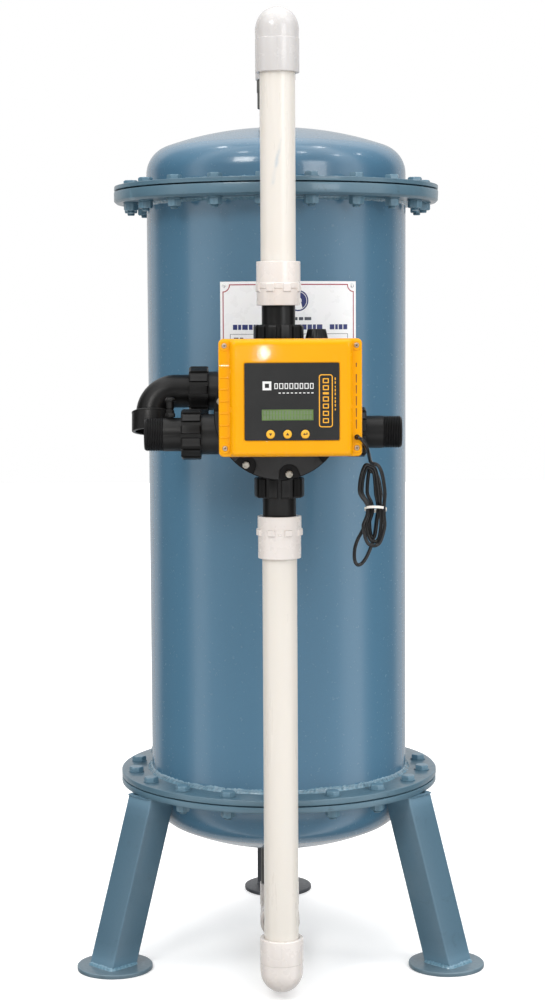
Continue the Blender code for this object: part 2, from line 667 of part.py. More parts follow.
def build_drain_elbow():
    """A flange on the seat, a bend down that leans to the front, and a socketed collar."""
    port = PORTS["drain"]
    down = Vector((0, -math.sin(DRAIN_LEAN), -math.cos(DRAIN_LEAN)))
    bend_start = Vector((DRAIN_BEND_X, DRAIN_Y, DRAIN_Z))
    path = [Vector((-port.seat - GAP, DRAIN_Y, DRAIN_Z)), bend_start]
    for i in range(1, 7):
        a = math.radians(15 * i)
        path.append(bend_start + Vector(LEFT) * DRAIN_BEND_R * math.sin(a)
                    + down * DRAIN_BEND_R * (1 - math.cos(a)))
    mouth = path[-1]
    path.append(mouth + down * 10)

    drain = swept("drain_elbow", path, DRAIN_PIPE_R, BLACK, resolution=4)
    join(drain,
         rod("drain_seat", PORT_R, port.seat, port.seat + TAIL_FLANGE_T, None,
             port.centre, port.direction),
         rod("drain_collar", DRAIN_COLLAR_R, -2, 25.5, None, mouth, down))
    way = [Vector((-100, DRAIN_Y, DRAIN_Z))] + path[1:]
    cut(drain,
        rod("drain_socket", DRAIN_SOCKET_R, 6, 40, None, mouth, down),
        swept("drain_way", way, FLOW_R, resolution=2))


def cover_bolt_places(depth=0.0):
    places = []
    for angle in COVER_BOLT_ANGLES:
        a = math.radians(angle)
        spot = Vector((COVER_BOLT_R * math.sin(a), -depth, VALVE_Z - COVER_BOLT_R * math.cos(a)))
        places.append(Matrix.Translation(spot * MM))
    return places


def face_holes(name, low, high):
    """The cover bolts' holes between two depths."""
    one = rod(name + "_one", COVER_HOLE_R, low, high, direction=FRONT, steps=6)
    one.data.transform(aim(FRONT).to_matrix().to_4x4())
    return repeated(name, one, cover_bolt_places((low + high) / 2))


def build_valve_body():
    """Drum, front flange, rear drum and port stubs, with flow ways to the chamber."""
    valve = (0, 0, VALVE_Z)
    front_pipe = (0, PIPE_Y, VALVE_Z)
    injector = (INJECTOR_X, PIPE_Y, VALVE_Z)
    inlet, outlet, drain = (PORTS[name] for name in ("inlet", "outlet", "drain"))
    top_end = PORTS["top"].seat - GAP - VALVE_Z
    bottom_end = PORTS["bottom"].seat - GAP + VALVE_Z
    # name, radius, low, high, centre, direction, steps
    stubs = (
        ("body_flange", FLANGE_R, 322, BODY_FACE, valve, FRONT, VALVE_STEPS),
        ("body_rear", 56.0, 207, 262, valve, FRONT, 16),
        ("body_top_port", PORT_R, 0, top_end, front_pipe, UP, ROUND),
        ("body_bottom_port", PORT_R, 0, bottom_end, front_pipe, DOWN, ROUND),
        ("body_inlet", PORT_R - 0.2, 30, inlet.seat - GAP, inlet.centre, LEFT, ROUND),
        ("body_outlet", PORT_R - 0.6, 20, outlet.seat - GAP, outlet.centre, RIGHT, ROUND),
        ("body_drain", PORT_R - 0.6, 20, drain.seat - GAP, drain.centre, LEFT, ROUND),
        ("body_injector", 14.0, 0, 85.5, injector, UP, 12),
        ("body_injector_stem", 10.0, 80, 108.0, injector, UP, 12),
    )
    ways = (
        ("chamber", CHAMBER_R, CHAMBER_FLOOR, 340, valve, FRONT, CHAMBER_STEPS),
        ("way_top", FLOW_R, 40, 120, front_pipe, UP, 12),
        ("way_bottom", FLOW_R, 40, 120, front_pipe, DOWN, 12),
        ("way_inlet", FLOW_R, 40, 130, inlet.centre, LEFT, 12),
        ("way_outlet", FLOW_R, 5, 120, outlet.centre, RIGHT, 12),
        ("way_drain", FLOW_R, 5, 120, drain.centre, LEFT, 12),
        ("way_outlet_in", SIDE_WAY_R, 250, 300, (SIDE_WAY_X, 0, OUTLET_Z), FRONT, 8),
        ("way_drain_in", SIDE_WAY_R, 236, 300, (-SIDE_WAY_X, 0, DRAIN_Z), FRONT, 8),
    )

    def tools(table):
        return [rod(name, radius, low, high, None, centre, direction, steps)
                for name, radius, low, high, centre, direction, steps in table]

    body = front_rod("valve_body", DRUM_R, 258, BODY_FACE, BLACK, steps=VALVE_STEPS)
    join(body, *tools(stubs))
    cut(body, *tools(ways))
    cut(body, face_holes("body_bolt_holes", 315, 345))


def build_valve_cover():
    cover = front_rod("valve_cover", FLANGE_R, COVER_BACK, COVER_FACE, BLACK,
                      steps=VALVE_STEPS)
    join(cover, front_rod("cover_boss", 30, 340, 351.7, steps=16))
    cut(cover,
        face_holes("cover_bolt_holes", 325, 355),
        front_rod("cover_bore", SHAFT_R + SHAFT_CLEARANCE, 325, 360, steps=16))


def build_cover_bolts():
    """M6 bolts, linked by a thin ring between body and cover."""
    head = COVER_FACE + GAP
    one = turned("cover_bolt_one",
                 [(0, 350.2), (5.2, 349.2), (5.2, head), (3.0, head), (3.0, 317.0), (0, 317.0)],
                 steps=6)
    one.data.transform(aim(FRONT).to_matrix().to_4x4())
    many = repeated("cover_bolt_many", one, cover_bolt_places())
    low, high = BODY_FACE + GAP, COVER_BACK - GAP
    outer, inner = COVER_BOLT_R + COVER_RING_HALF, COVER_BOLT_R - COVER_RING_HALF
    ring = turned("cover_bolts", [(outer, high), (outer, low), (inner, low)],
                  STEEL, (0, 0, VALVE_Z), FRONT, steps=30)
    join(ring, many)


def build_injector_cap():
    turned("injector_cap",
           [(0, 940.8), (12.9, 940.8), (15.9, 928), (15.9, INJECTOR_CAP_Z),
            (10.7, INJECTOR_CAP_Z), (10.7, 934.8), (0, 934.8)],
           BLACK, (INJECTOR_X, PIPE_Y, 0), steps=16)


def build_discs():
    """Inside the chamber: a fixed ported disc, and the rotor with its shaft."""
    # port of the fixed disc: x, z
    disc_ports = {
        "top": (0, VALVE_Z + DISC_PORT_OFFSET),
        "bottom": (0, VALVE_Z - DISC_PORT_OFFSET),
        "outlet": (SIDE_WAY_X, OUTLET_Z),
        "drain": (-SIDE_WAY_X, DRAIN_Z),
    }
    stator = front_rod("stator_disc", CHAMBER_R - 1.0, CHAMBER_FLOOR + GAP, 294.0, ACETAL,
                       steps=CHAMBER_STEPS)
    cut(stator, *[front_rod("stator_port_" + name, DISC_PORT_R, 280, 300, x=x, z=z)
                  for name, (x, z) in disc_ports.items()])
    rotor = turned("rotor",
                   [(0, SHAFT_END), (SHAFT_R, SHAFT_END), (SHAFT_R, 306.0), (60, 304.0),
                    (60, 294.4), (0, 294.4)],
                   ACETAL, (0, 0, VALVE_Z), FRONT, steps=CHAMBER_STEPS)
    cut(rotor, front_rod("rotor_port", DISC_PORT_R, 280, 310, z=VALVE_Z + DISC_PORT_OFFSET))


# ========================= drive ========================================
def gear_outline(teeth, phase):
    """Tooth outline as (x, y) points in mm, with slack at the flanks."""
    pitch_r = MODULE * teeth / 2
    tip, root = pitch_r + 0.9 * MODULE, pitch_r - 1.15 * MODULE
    step = 2 * math.pi / teeth
    points = []
    for k in range(teeth):
        # radius, and angle from the tooth's middle as a share of the pitch
        for r, share in ((root, -0.30), (tip, -0.11), (tip, 0.11), (root, 0.30)):
            a = phase + k * step + share * step
            points.append((r * math.cos(a), r * math.sin(a)))
    return points


def gear(name, teeth, x, low, high, phase):
    """A spur gear about -Y between two depths, from a filled flat outline."""
    curve = bpy.data.curves.new(name, "CURVE")
    curve.dimensions = "2D"
    curve.fill_mode = "BOTH"
    curve.extrude = (high - low) / 2 * MM
    spline = curve.splines.new("POLY")
    outline = gear_outline(teeth, phase)
    spline.points.add(len(outline) - 1)
    for point, (across, along) in zip(spline.points, outline):
        point.co = (across * MM, along * MM, 0, 1)
    spline.use_cyclic_u = True
    obj = add(name, curve, ACETAL)
    place(obj, (x, -(low + high) / 2, VALVE_Z), FRONT)
    return bake(obj)


def build_drive():
    drive_gear = gear("drive_gear", GEAR_TEETH, 0, 356.8, 362.8, phase=0.0)
    cut(drive_gear, front_rod("gear_bore", SHAFT_R + SHAFT_CLEARANCE, 350, 370, steps=24))
    # a space of the pinion faces the gear's tooth on the line of centres
    pinion = gear("motor_pinion", PINION_TEETH, PINION_X, 357.0, 362.6,
                  phase=math.pi + math.pi / PINION_TEETH)
    join(pinion, front_rod("pinion_shaft", PINION_SHAFT_R, 360, 375, x=PINION_X, steps=12))
    motor = front_rod("gearmotor", MOTOR_R, *MOTOR_DEPTH, STEEL, x=PINION_X, steps=20)
    feet = [front_rod("motor_foot_" + tag, MOTOR_FOOT_R, 354.8, 368,
                      x=PINION_X + MOTOR_FOOT_X, z=VALVE_Z + offset)
            for tag, offset in (("a", MOTOR_FOOT_Z), ("b", -MOTOR_FOOT_Z))]
    join(motor, *feet)
    cut(motor, front_rod("motor_bore", PINION_SHAFT_R + 0.25, 360, 376, x=PINION_X, steps=12))


# ========================= controller ===================================
def button_holes(part):
    return [front_rod(f"{part}_button_hole_{i}", BUTTON_R + 0.5, 392, 405,
                      x=x, z=BUTTON_Z, steps=16)
            for i, x in enumerate(BUTTONS.values())]


def build_base():
    """A shallow tray with a post for each lid screw."""
    base = box("controller_base", BOX_X, (BASE_BACK, BASE_RIM), BOX_Z, BLACK, CASE_BEVEL)
    cut(base, box("base_hollow", inset(BOX_X, CASE_WALL),
                  (BASE_BACK + BASE_FLOOR, BASE_RIM + CUT_OVER), inset(BOX_Z, CASE_WALL)))
    post_end = BASE_RIM - GAP
    for i, (x, z) in enumerate(SCREWS):
        join(base, turned(f"base_post_{i}",
                          [(0, 357.2), (2.0, 357.2), (2.0, post_end), (3.9, post_end),
                           (3.9, 353.2), (0, 353.2)],
                          None, (x, 0, z), FRONT, steps=8))
    cut(base, front_rod("base_shaft_hole", SHAFT_R + 1.5, 345, 360, steps=16))


def build_lid():
    """A lid with a raised hump between two side strips."""
    lid = box("controller_lid", BOX_X, (LID_RIM, STRIP_FACE), BOX_Z, YELLOW, CASE_BEVEL)
    join(lid, box("lid_hump", HUMP_X, (STRIP_FACE - 6, LID_FACE),
                  inset(BOX_Z, HUMP_INSET_Z), bevel=HUMP_BEVEL))
    cut(lid,
        box("lid_hollow", inset(BOX_X, CASE_WALL),
            (LID_RIM - CUT_OVER, STRIP_FACE - CASE_WALL), inset(BOX_Z, CASE_WALL)),
        box("hump_hollow", inset(HUMP_X, CASE_WALL),
            (STRIP_FACE - 8, LID_FACE - CASE_WALL), inset(BOX_Z, HUMP_HOLLOW_INSET_Z)),
        box("lid_window", inset(LCD_X, -1), (LID_FACE - 8, LID_FACE + CUT_OVER),
            inset(LCD_Z, -1)),
        front_rod("cable_hole", CABLE_R + 0.7, 380, 395, x=CABLE_X, z=CABLE_Z, steps=12),
        *button_holes("lid"),
        *[front_rod(f"lid_screw_hole_{i}", 2.1, 380, 395, x=x, z=z)
          for i, (x, z) in enumerate(SCREWS)])


def build_lid_screws():
    """Four screws, linked by a thin frame inside the box."""
    frame_x = (SCREWS[2][0], SCREWS[3][0])
    frame_z = (SCREWS[2][1], SCREWS[0][1])
    screws = box("lid_screws", inset(frame_x, -1), FRAME_DEPTH, inset(frame_z, -0.6), STEEL)
    cut(screws, box("screw_frame_inner", inset(frame_x, 0.2),
                    inset(FRAME_DEPTH, -CUT_OVER), inset(frame_z, 0.6)))
    under_head = STRIP_FACE + GAP
    for i, (x, z) in enumerate(SCREWS):
        join(screws, turned(f"lid_screw_{i}",
                            [(0, 390.4), (2.4, 390.4), (3.5, 389.4), (3.5, under_head),
                             (1.6, under_head), (1.6, 358.5), (0, 358.5)],
                            None, (x, 0, z), FRONT, steps=6))


def build_panel():
    """The overlay on the lid's face, with its window and button holes."""
    panel = box("front_panel", PANEL_X, (LID_FACE + GAP, LID_FACE + PANEL_FRONT),
                PANEL_Z, PANEL)
    window = box("panel_window", LCD_X, (LID_FACE - CUT_OVER, LID_FACE + CUT_OVER), LCD_Z)
    cut(panel, window, *button_holes("panel"))


def build_electronics():
    """Display, circuit board with a switch behind each button, and the buttons."""
    box("lcd_module", inset(LCD_X, -LCD_MARGIN_X), LCD_DEPTH, inset(LCD_Z, -LCD_MARGIN_Z), GLASS)
    board = box("circuit_board", BOARD_X, BOARD_DEPTH, BOARD_Z, BOARD)
    join(board, *[front_rod(f"switch_{i}", 3.0, 386, 388.0, x=x, z=BUTTON_Z)
                  for i, x in enumerate(BUTTONS.values())])
    for name, x in BUTTONS.items():
        turned(name,
               [(0, BUTTON_FACE), (BUTTON_R, BUTTON_FACE), (BUTTON_R, 395.5), (2, 395.5),
                (2, 389.2), (0, 389.2)],
               YELLOW, (x, 0, BUTTON_Z), FRONT, steps=16)


# ========================= power cable ==================================
# centre line as (x, y, z), from inside the lid to the top of the coil
CABLE_LEAD = [
    (CABLE_X, -378.0, CABLE_Z), (CABLE_X, -390.0, CABLE_Z), (106.0, -394.5, 796.5),
    (112.0, -394.0, 791.0), (116.5, -388.0, 782.0), (119.0, -377.0, 772.0),
    (121.0, -364.0, 764.5),
]
# the free end leaves the coil at the right, hangs in a small loop and ends behind the bundle
CABLE_FREE_END = [
    (130.0, -327.0, 688.0), (126.0, -326.0, 668.0), (121.5, -325.0, 648.0),
    (117.0, -324.0, 633.0), (111.5, -323.2, 622.5), (105.0, -322.8, 620.0),
    (101.5, -322.4, 628.0), (101.5, -321.8, 642.0), (104.0, -321.2, 658.0),
]


def coil_half_width(z):
    """Wide lobes above and below the waist that the tie pulls in."""
    if z > WAIST_Z:
        share, bulge = (z - WAIST_Z) / (COIL_TOP - WAIST_Z), UPPER_BULGE
    else:
        share, bulge = (WAIST_Z - z) / (WAIST_Z - COIL_BOTTOM), LOWER_BULGE
    return WAIST_HALF + bulge * math.sin(math.pi * share)


def build_cable():
    coil = []
    # the last four points take the coil a quarter turn on, to its right side
    for i in range(COIL_TURNS * COIL_STEPS + 4):
        turns = i / COIL_STEPS
        a = 2 * math.pi * turns
        z = (COIL_TOP + COIL_BOTTOM) / 2 + (COIL_TOP - COIL_BOTTOM) / 2 * math.cos(a)
        x = COIL_X + coil_half_width(z) * math.sin(a)
        coil.append((x, COIL_FRONT + COIL_PITCH * turns, z))
    swept("power_cable", CABLE_LEAD + coil + CABLE_FREE_END, CABLE_R, BLACK, resolution=1)
    tie_inner, tie_outer = TIE_R
    tie_y = COIL_FRONT + COIL_PITCH * (COIL_TURNS + 0.5) / 2
    tube("cable_tie", tie_outer, tie_inner, WAIST_Z - 2, WAIST_Z + 2, WHITE,
         (COIL_X, tie_y, 0), steps=20)


# ========================= shading, origins and stand ===================
def shade_parts():
    for obj in parts.objects:
        obj.data.shade_smooth()
        obj.data.set_sharp_from_angle(angle=math.radians(32))


def set_origin(name, spot):
    """Move an object's origin to its joint's axis without moving its surface."""
    obj = bpy.data.objects[name]
    bpy.context.view_layer.update()
    target = Matrix.Translation(Vector(spot) * MM)
    obj.data.transform(target.inverted() @ obj.matrix_world)
    obj.matrix_world = target


def set_joint_origins():
    set_origin("rotor", (0, -SHAFT_END, VALVE_Z))
    set_origin("drive_gear", (0, -360, VALVE_Z))
    set_origin("motor_pinion", (PINION_X, -360, VALVE_Z))
    set_origin("injector_cap", (INJECTOR_X, PIPE_Y, INJECTOR_CAP_Z))
    for name, x in BUTTONS.items():
        set_origin(name, (x, -BUTTON_FACE, BUTTON_Z))


def stand_on_axis():
    """Parent every part to one empty, on the floor below the vessel's axis."""
    stand = bpy.data.objects.new("vessel_axis", None)
    stand.location = (0, VESSEL_Y * MM, 0)
    for obj in list(parts.objects):
        obj.parent = stand
    parts.objects.link(stand)


dished_head("top_head", TOP_DISH, TOP_JOINT, TOP_JOINT.upper, FLANGE_R_TOP,
            TOP_NOZZLE_Z, up=1)
build_shell()
dished_head("bottom_head", BOTTOM_DISH, BOTTOM_JOINT, BOTTOM_JOINT.lower, FLANGE_R_BOTTOM,
            BOTTOM_NOZZLE_Z, up=-1)
build_joint("top", TOP_JOINT)
build_joint("bottom", BOTTOM_JOINT)
build_filling()
build_legs()
build_rating_plate()

build_elbows()
build_pipes()
build_adapters()

build_unions()
build_drain_elbow()
build_valve_body()
build_valve_cover()
build_cover_bolts()
build_injector_cap()
build_discs()
build_drive()

build_base()
build_lid()
build_lid_screws()
build_panel()
build_electronics()
build_cable()

shade_parts()
set_joint_origins()
stand_on_axis()
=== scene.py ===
"""A water treatment vessel on three legs, with its pipework, valve and controller.

Metres, +Z up, the floor at z = 0, the front towards -Y and the left towards -X.
Shapes are drawn in mm from the vessel's upright axis, which stands VESSEL_Y behind the
origin; piece() brings them to metres. An azimuth is in degrees from the front, growing
towards the right.
"""

import math

import bmesh
import bpy
from mathutils import Matrix, Vector, noise


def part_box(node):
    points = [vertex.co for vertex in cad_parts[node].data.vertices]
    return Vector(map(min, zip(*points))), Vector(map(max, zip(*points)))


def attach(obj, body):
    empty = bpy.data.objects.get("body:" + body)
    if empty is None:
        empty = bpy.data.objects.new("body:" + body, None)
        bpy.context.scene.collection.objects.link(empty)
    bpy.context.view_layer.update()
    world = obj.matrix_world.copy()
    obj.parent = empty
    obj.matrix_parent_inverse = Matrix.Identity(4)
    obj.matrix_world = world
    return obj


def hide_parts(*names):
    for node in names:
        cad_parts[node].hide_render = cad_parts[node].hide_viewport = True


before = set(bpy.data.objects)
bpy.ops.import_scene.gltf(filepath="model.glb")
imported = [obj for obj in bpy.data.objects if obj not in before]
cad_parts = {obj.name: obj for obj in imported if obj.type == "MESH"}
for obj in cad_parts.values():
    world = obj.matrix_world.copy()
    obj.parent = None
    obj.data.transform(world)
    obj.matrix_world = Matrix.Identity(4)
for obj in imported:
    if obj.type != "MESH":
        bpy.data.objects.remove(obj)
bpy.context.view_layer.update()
MM = 0.001
VESSEL_Y = 31.6

FRONT, BACK = (0, -1, 0), (0, 1, 0)
LEFT, RIGHT = (-1, 0, 0), (1, 0, 0)
UP, DOWN = (0, 0, 1), (0, 0, -1)


def box_mm(node):
    """The corners of a CAD piece's bounding box."""
    shift = Vector((0, VESSEL_Y * MM, 0))
    return [(corner - shift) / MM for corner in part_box(node)]


# =====================================================================
# shader helpers
# =====================================================================
class Nodes:
    """Short ways to add and link the nodes of one tree."""

    def __init__(self, tree):
        self.tree = tree

    def add(self, kind, **settings):
        node = self.tree.nodes.new(kind)
        for key, value in settings.items():
            setattr(node, key, value)
        return node

    def feed(self, socket, value):
        """Link a socket or set its value. Colours are given without alpha."""
        if isinstance(value, bpy.types.NodeSocket):
            self.tree.links.new(value, socket)
        else:
            socket.default_value = (*value, 1.0) if socket.type == "RGBA" else value

    def ramp(self, value, stops):
        """A colour ramp; stops are (position, grey level or colour)."""
        node = self.add("ShaderNodeValToRGB")
        elements = node.color_ramp.elements
        elements.remove(elements[-1])
        for i, (position, colour) in enumerate(stops):
            if not hasattr(colour, "__len__"):
                colour = (colour,) * 3
            element = elements[0] if i == 0 else elements.new(position)
            element.position = position
            element.color = (*colour, 1.0)
        self.feed(node.inputs["Fac"], value)
        return node.outputs["Color"]

    def math(self, how, *values):
        node = self.add("ShaderNodeMath", operation=how)
        for socket, value in zip(node.inputs, values):
            self.feed(socket, value)
        return node.outputs[0]

    def mix(self, factor, first, second, how="MIX"):
        node = self.add("ShaderNodeMix", data_type="RGBA", blend_type=how)
        for i, value in ((0, factor), (6, first), (7, second)):
            self.feed(node.inputs[i], value)
        return node.outputs[2]


class Mat(Nodes):
    """A material with a Principled shader, textured in object coordinates."""

    def __init__(self, name):
        self.mat = bpy.data.materials.new(name)
        self.mat.use_nodes = True
        super().__init__(self.mat.node_tree)
        self.coord = self.add("ShaderNodeTexCoord").outputs["Object"]

    def finish(self, **inputs):
        """Fill the shader's inputs; an underscore stands for a space."""
        shader = self.tree.nodes["Principled BSDF"]
        for key, value in inputs.items():
            self.feed(shader.inputs[key.replace("_", " ")], value)
        return self.mat

    def noise(self, scale, detail=3.0, rough=0.5, stretch=None, distortion=0.0):
        node = self.add("ShaderNodeTexNoise")
        for key, value in (("Scale", scale), ("Detail", detail), ("Roughness", rough),
                           ("Distortion", distortion)):
            node.inputs[key].default_value = value
        source = self.coord
        if stretch:
            mapping = self.add("ShaderNodeMapping")
            mapping.inputs["Scale"].default_value = stretch
            self.feed(mapping.inputs["Vector"], source)
            source = mapping.outputs["Vector"]
        self.feed(node.inputs["Vector"], source)
        return node.outputs["Fac"]

    def voronoi(self, scale, feature="F1", output="Distance"):
        node = self.add("ShaderNodeTexVoronoi", feature=feature)
        node.inputs["Scale"].default_value = scale
        self.feed(node.inputs["Vector"], self.coord)
        return node.outputs[output]

    def bump(self, height, strength, distance):
        node = self.add("ShaderNodeBump")
        node.inputs["Strength"].default_value = strength
        node.inputs["Distance"].default_value = distance
        self.feed(node.inputs["Height"], height)
        return node.outputs["Normal"]

    def axis(self, which):
        node = self.add("ShaderNodeSeparateXYZ")
        self.feed(node.inputs[0], self.coord)
        return node.outputs[which]

    def pointiness(self):
        return self.add("ShaderNodeNewGeometry").outputs["Pointiness"]


def tone(colour, times, plus=0.0):
    return [min(1.0, c * times + plus) for c in colour]


# =====================================================================
# materials
# =====================================================================
def enamel(name, deep, pale, blots=0.0, rough=0.30, coat=0.55, peel=0.10):
    """Glossy paint that drifts between two tones; blots adds stains and worn edges."""
    mat = Mat(name)
    drift = mat.noise(scale=2.2, detail=4.0, rough=0.55, stretch=(1, 1, 0.35))
    colour = mat.mix(mat.ramp(drift, [(0.35, 0.0), (0.68, 1.0)]), deep, pale)
    fine = mat.noise(scale=190.0, rough=0.6)
    colour = mat.mix(mat.ramp(fine, [(0.45, 0.0), (0.75, 0.10)]), colour, tone(deep, times=0.7))
    if blots:
        spot = mat.noise(scale=34.0, detail=5.0, rough=0.72, distortion=0.6)
        mask = mat.ramp(spot, [(0.60, 0.0), (0.70, blots)])
        colour = mat.mix(mask, colour, tone(deep, times=0.42))
        worn = mat.ramp(mat.pointiness(), [(0.505, 0.0), (0.56, 0.55)])
        colour = mat.mix(worn, colour, tone(pale, times=1.7, plus=0.03))
    # slow runs in the paint, with a little fine peel on top
    run = mat.noise(scale=9.0, detail=2.0, stretch=(1, 1, 0.25))
    grain_height, run_height = (0.5 if blots else 0.06), 1.6
    height = mat.math("ADD",
                      mat.math("MULTIPLY", mat.noise(scale=420.0, detail=2.0), grain_height),
                      mat.math("MULTIPLY", run, run_height))
    normal = mat.bump(height, strength=peel, distance=0.0006)
    return mat.finish(Base_Color=colour,
                      Roughness=mat.ramp(fine, [(0.3, rough * 0.85), (0.8, rough * 1.25)]),
                      Coat_Weight=coat, Coat_Roughness=0.07, Normal=normal)


# a slanting rub on the upper pipe, in metres: middle height, lean, offset in x
RUB_Z, RUB_LEAN, RUB_X = 1.165, 0.207, -0.0019


def rub(mat, colour):
    """Lay a faint bluish, broken line over the colour."""
    x, z = mat.axis(0), mat.axis(2)
    leaning = mat.math("MULTIPLY", mat.math("SUBTRACT", z, RUB_Z), RUB_LEAN)
    off_line = mat.math("SUBTRACT", mat.math("SUBTRACT", x, leaning), RUB_X)
    near = mat.ramp(mat.math("ABSOLUTE", off_line), [(0.0, 1.0), (0.0018, 0.0)])
    span = mat.ramp(mat.math("ABSOLUTE", mat.math("SUBTRACT", z, RUB_Z)),
                    [(0.026, 1.0), (0.034, 0.0)])
    broken = mat.ramp(mat.noise(scale=70.0, detail=2.0), [(0.42, 0.15), (0.60, 0.55)])
    amount = mat.math("MULTIPLY", mat.math("MULTIPLY", near, span), broken)
    return mat.mix(amount, colour, (0.34, 0.46, 0.56))


def upvc(name, warm, cool, rough=0.30, mark=False, wear=0.18):
    """Off-white pipe plastic with rare specks and light scuffs."""
    mat = Mat(name)
    drift = mat.noise(scale=7.0, stretch=(1, 1, 0.3))
    colour = mat.mix(mat.ramp(drift, [(0.35, 0.0), (0.65, 1.0)]), warm, cool)
    specks = mat.ramp(mat.voronoi(scale=95.0), [(0.015, 1.0), (0.04, 0.0)])
    rare = mat.ramp(mat.noise(scale=16.0, detail=1.0), [(0.62, 0.0), (0.70, 0.5)])
    colour = mat.mix(mat.math("MULTIPLY", specks, rare), colour, (0.35, 0.30, 0.24))
    if wear > 0.1:
        scuff = mat.noise(scale=60.0, detail=4.0, rough=0.7, stretch=(1, 1, 0.12))
    else:
        scuff = mat.noise(scale=40.0, rough=0.6)
    colour = mat.mix(mat.ramp(scuff, [(0.66, 0.0), (0.76, wear)]), colour, (0.58, 0.55, 0.50))
    if mark:
        colour = rub(mat, colour)
    return mat.finish(Base_Color=colour,
                      Roughness=mat.ramp(scuff, [(0.3, rough * 0.8), (0.75, rough * 1.35)]),
                      Subsurface_Weight=0.08, Subsurface_Radius=(0.002, 0.0015, 0.001),
                      Coat_Weight=0.25, Coat_Roughness=0.18,
                      Normal=mat.bump(mat.noise(scale=330.0, detail=2.0),
                                      strength=0.05, distance=0.0003))


def moulded(name, base, rough=0.42, grain=900.0, depth=0.18, edge=0.5, coat=0.0, spec=0.5):
    """Grained dark plastic with paler edges."""
    mat = Mat(name)
    mottle = mat.noise(scale=28.0, detail=4.0, rough=0.6)
    colour = mat.mix(mat.ramp(mottle, [(0.35, 0.0), (0.7, 1.0)]),
                     tone(base, times=0.8), tone(base, times=1.25))
    worn = mat.ramp(mat.pointiness(), [(0.51, 0.0), (0.60, edge)])
    colour = mat.mix(worn, colour, tone(base, times=2.6, plus=0.02))
    return mat.finish(Base_Color=colour,
                      Roughness=mat.ramp(mottle, [(0.3, rough * 0.85), (0.75, rough * 1.2)]),
                      Specular_IOR_Level=spec, Coat_Weight=coat, Coat_Roughness=0.2,
                      Normal=mat.bump(mat.noise(scale=grain, detail=2.0, rough=0.6),
                                      strength=depth, distance=0.0002))


def painted_plastic(name, base, shade, rough=0.25, coat=0.5, spec=0.5, lift=0.12,
                    coat_rough=0.12, bumps=0.05):
    """Smooth coloured plastic; lift brightens its edges."""
    mat = Mat(name)
    drift = mat.noise(scale=12.0, detail=2.0, rough=0.4)
    colour = mat.mix(mat.ramp(drift, [(0.35, 0.0), (0.7, 1.0)]), base, shade)
    worn = mat.ramp(mat.pointiness(), [(0.52, 0.0), (0.62, 0.35)])
    colour = mat.mix(worn, colour, tone(base, times=1.0, plus=lift))
    return mat.finish(Base_Color=colour,
                      Roughness=mat.ramp(mat.noise(scale=60.0),
                                         [(0.3, rough * 0.9), (0.8, rough * 1.2)]),
                      Coat_Weight=coat, Coat_Roughness=coat_rough, Specular_IOR_Level=spec,
                      Normal=mat.bump(mat.noise(scale=500.0, detail=2.0),
                                      strength=bumps, distance=0.0002),
                      Subsurface_Weight=0.05, Subsurface_Radius=(0.002, 0.001, 0.0004))


def metal(name, base, rough=0.32, dirt=0.35):
    mat = Mat(name)
    stain = mat.noise(scale=140.0, detail=4.0, rough=0.65)
    colour = mat.mix(mat.ramp(stain, [(0.45, 0.0), (0.75, dirt)]), base, tone(base, times=0.35))
    return mat.finish(Base_Color=colour, Metallic=1.0,
                      Roughness=mat.ramp(stain, [(0.3, rough * 0.7), (0.8, rough * 1.5)]),
                      Normal=mat.bump(mat.noise(scale=1400.0, detail=2.0, rough=0.6),
                                      strength=0.12, distance=0.0001))


def printed(name, colour, rough=0.35):
    mat = Mat(name)
    fleck = mat.noise(scale=700.0, detail=2.0)
    return mat.finish(Base_Color=mat.mix(mat.ramp(fleck, [(0.4, 0.0), (0.75, 0.25)]),
                                         colour, tone(colour, times=0.75)),
                      Roughness=mat.ramp(fleck, [(0.3, rough * 0.9), (0.8, rough * 1.1)]))


def display(name):
    """Cloudy green glass with a faint lattice of dots and a faint painted glow."""
    mat = Mat(name)
    cloud = mat.noise(scale=46.0, detail=4.0, rough=0.6)
    colour = mat.ramp(cloud, [(0.30, (0.075, 0.150, 0.022)), (0.55, (0.115, 0.215, 0.040)),
                              (0.80, (0.185, 0.300, 0.085))])
    waves = []
    for axis, pitch in ((0, 0.00075), (2, 0.00080)):     # dot pitch in metres
        wave = mat.math("SINE", mat.math("MULTIPLY", mat.axis(axis), 2 * math.pi / pitch))
        waves.append(mat.math("ABSOLUTE", wave))
    lattice = mat.math("MULTIPLY", *waves)
    colour = mat.mix(mat.ramp(lattice, [(0.0, 0.22), (0.35, 0.0)]), colour, (0.04, 0.07, 0.01))
    # the emission is a painted glow: the glass gives off faint light of its own colour
    return mat.finish(Base_Color=colour, Roughness=0.22, Coat_Weight=0.6, Coat_Roughness=0.05,
                      Emission_Color=colour, Emission_Strength=0.10)


def beads(name):
    mat = Mat(name)
    cell = mat.voronoi(scale=1100.0)
    tint = mat.voronoi(scale=1100.0, output="Color")
    amber = mat.ramp(cell, [(0.0, (0.60, 0.30, 0.07)), (0.7, (0.22, 0.09, 0.02))])
    tint_share = 0.35
    return mat.finish(Base_Color=mat.mix(tint_share, amber, tint, "MULTIPLY"),
                      Roughness=0.35, Coat_Weight=0.4,
                      Normal=mat.bump(mat.math("SUBTRACT", 1.0, cell),
                                      strength=0.7, distance=0.0006))


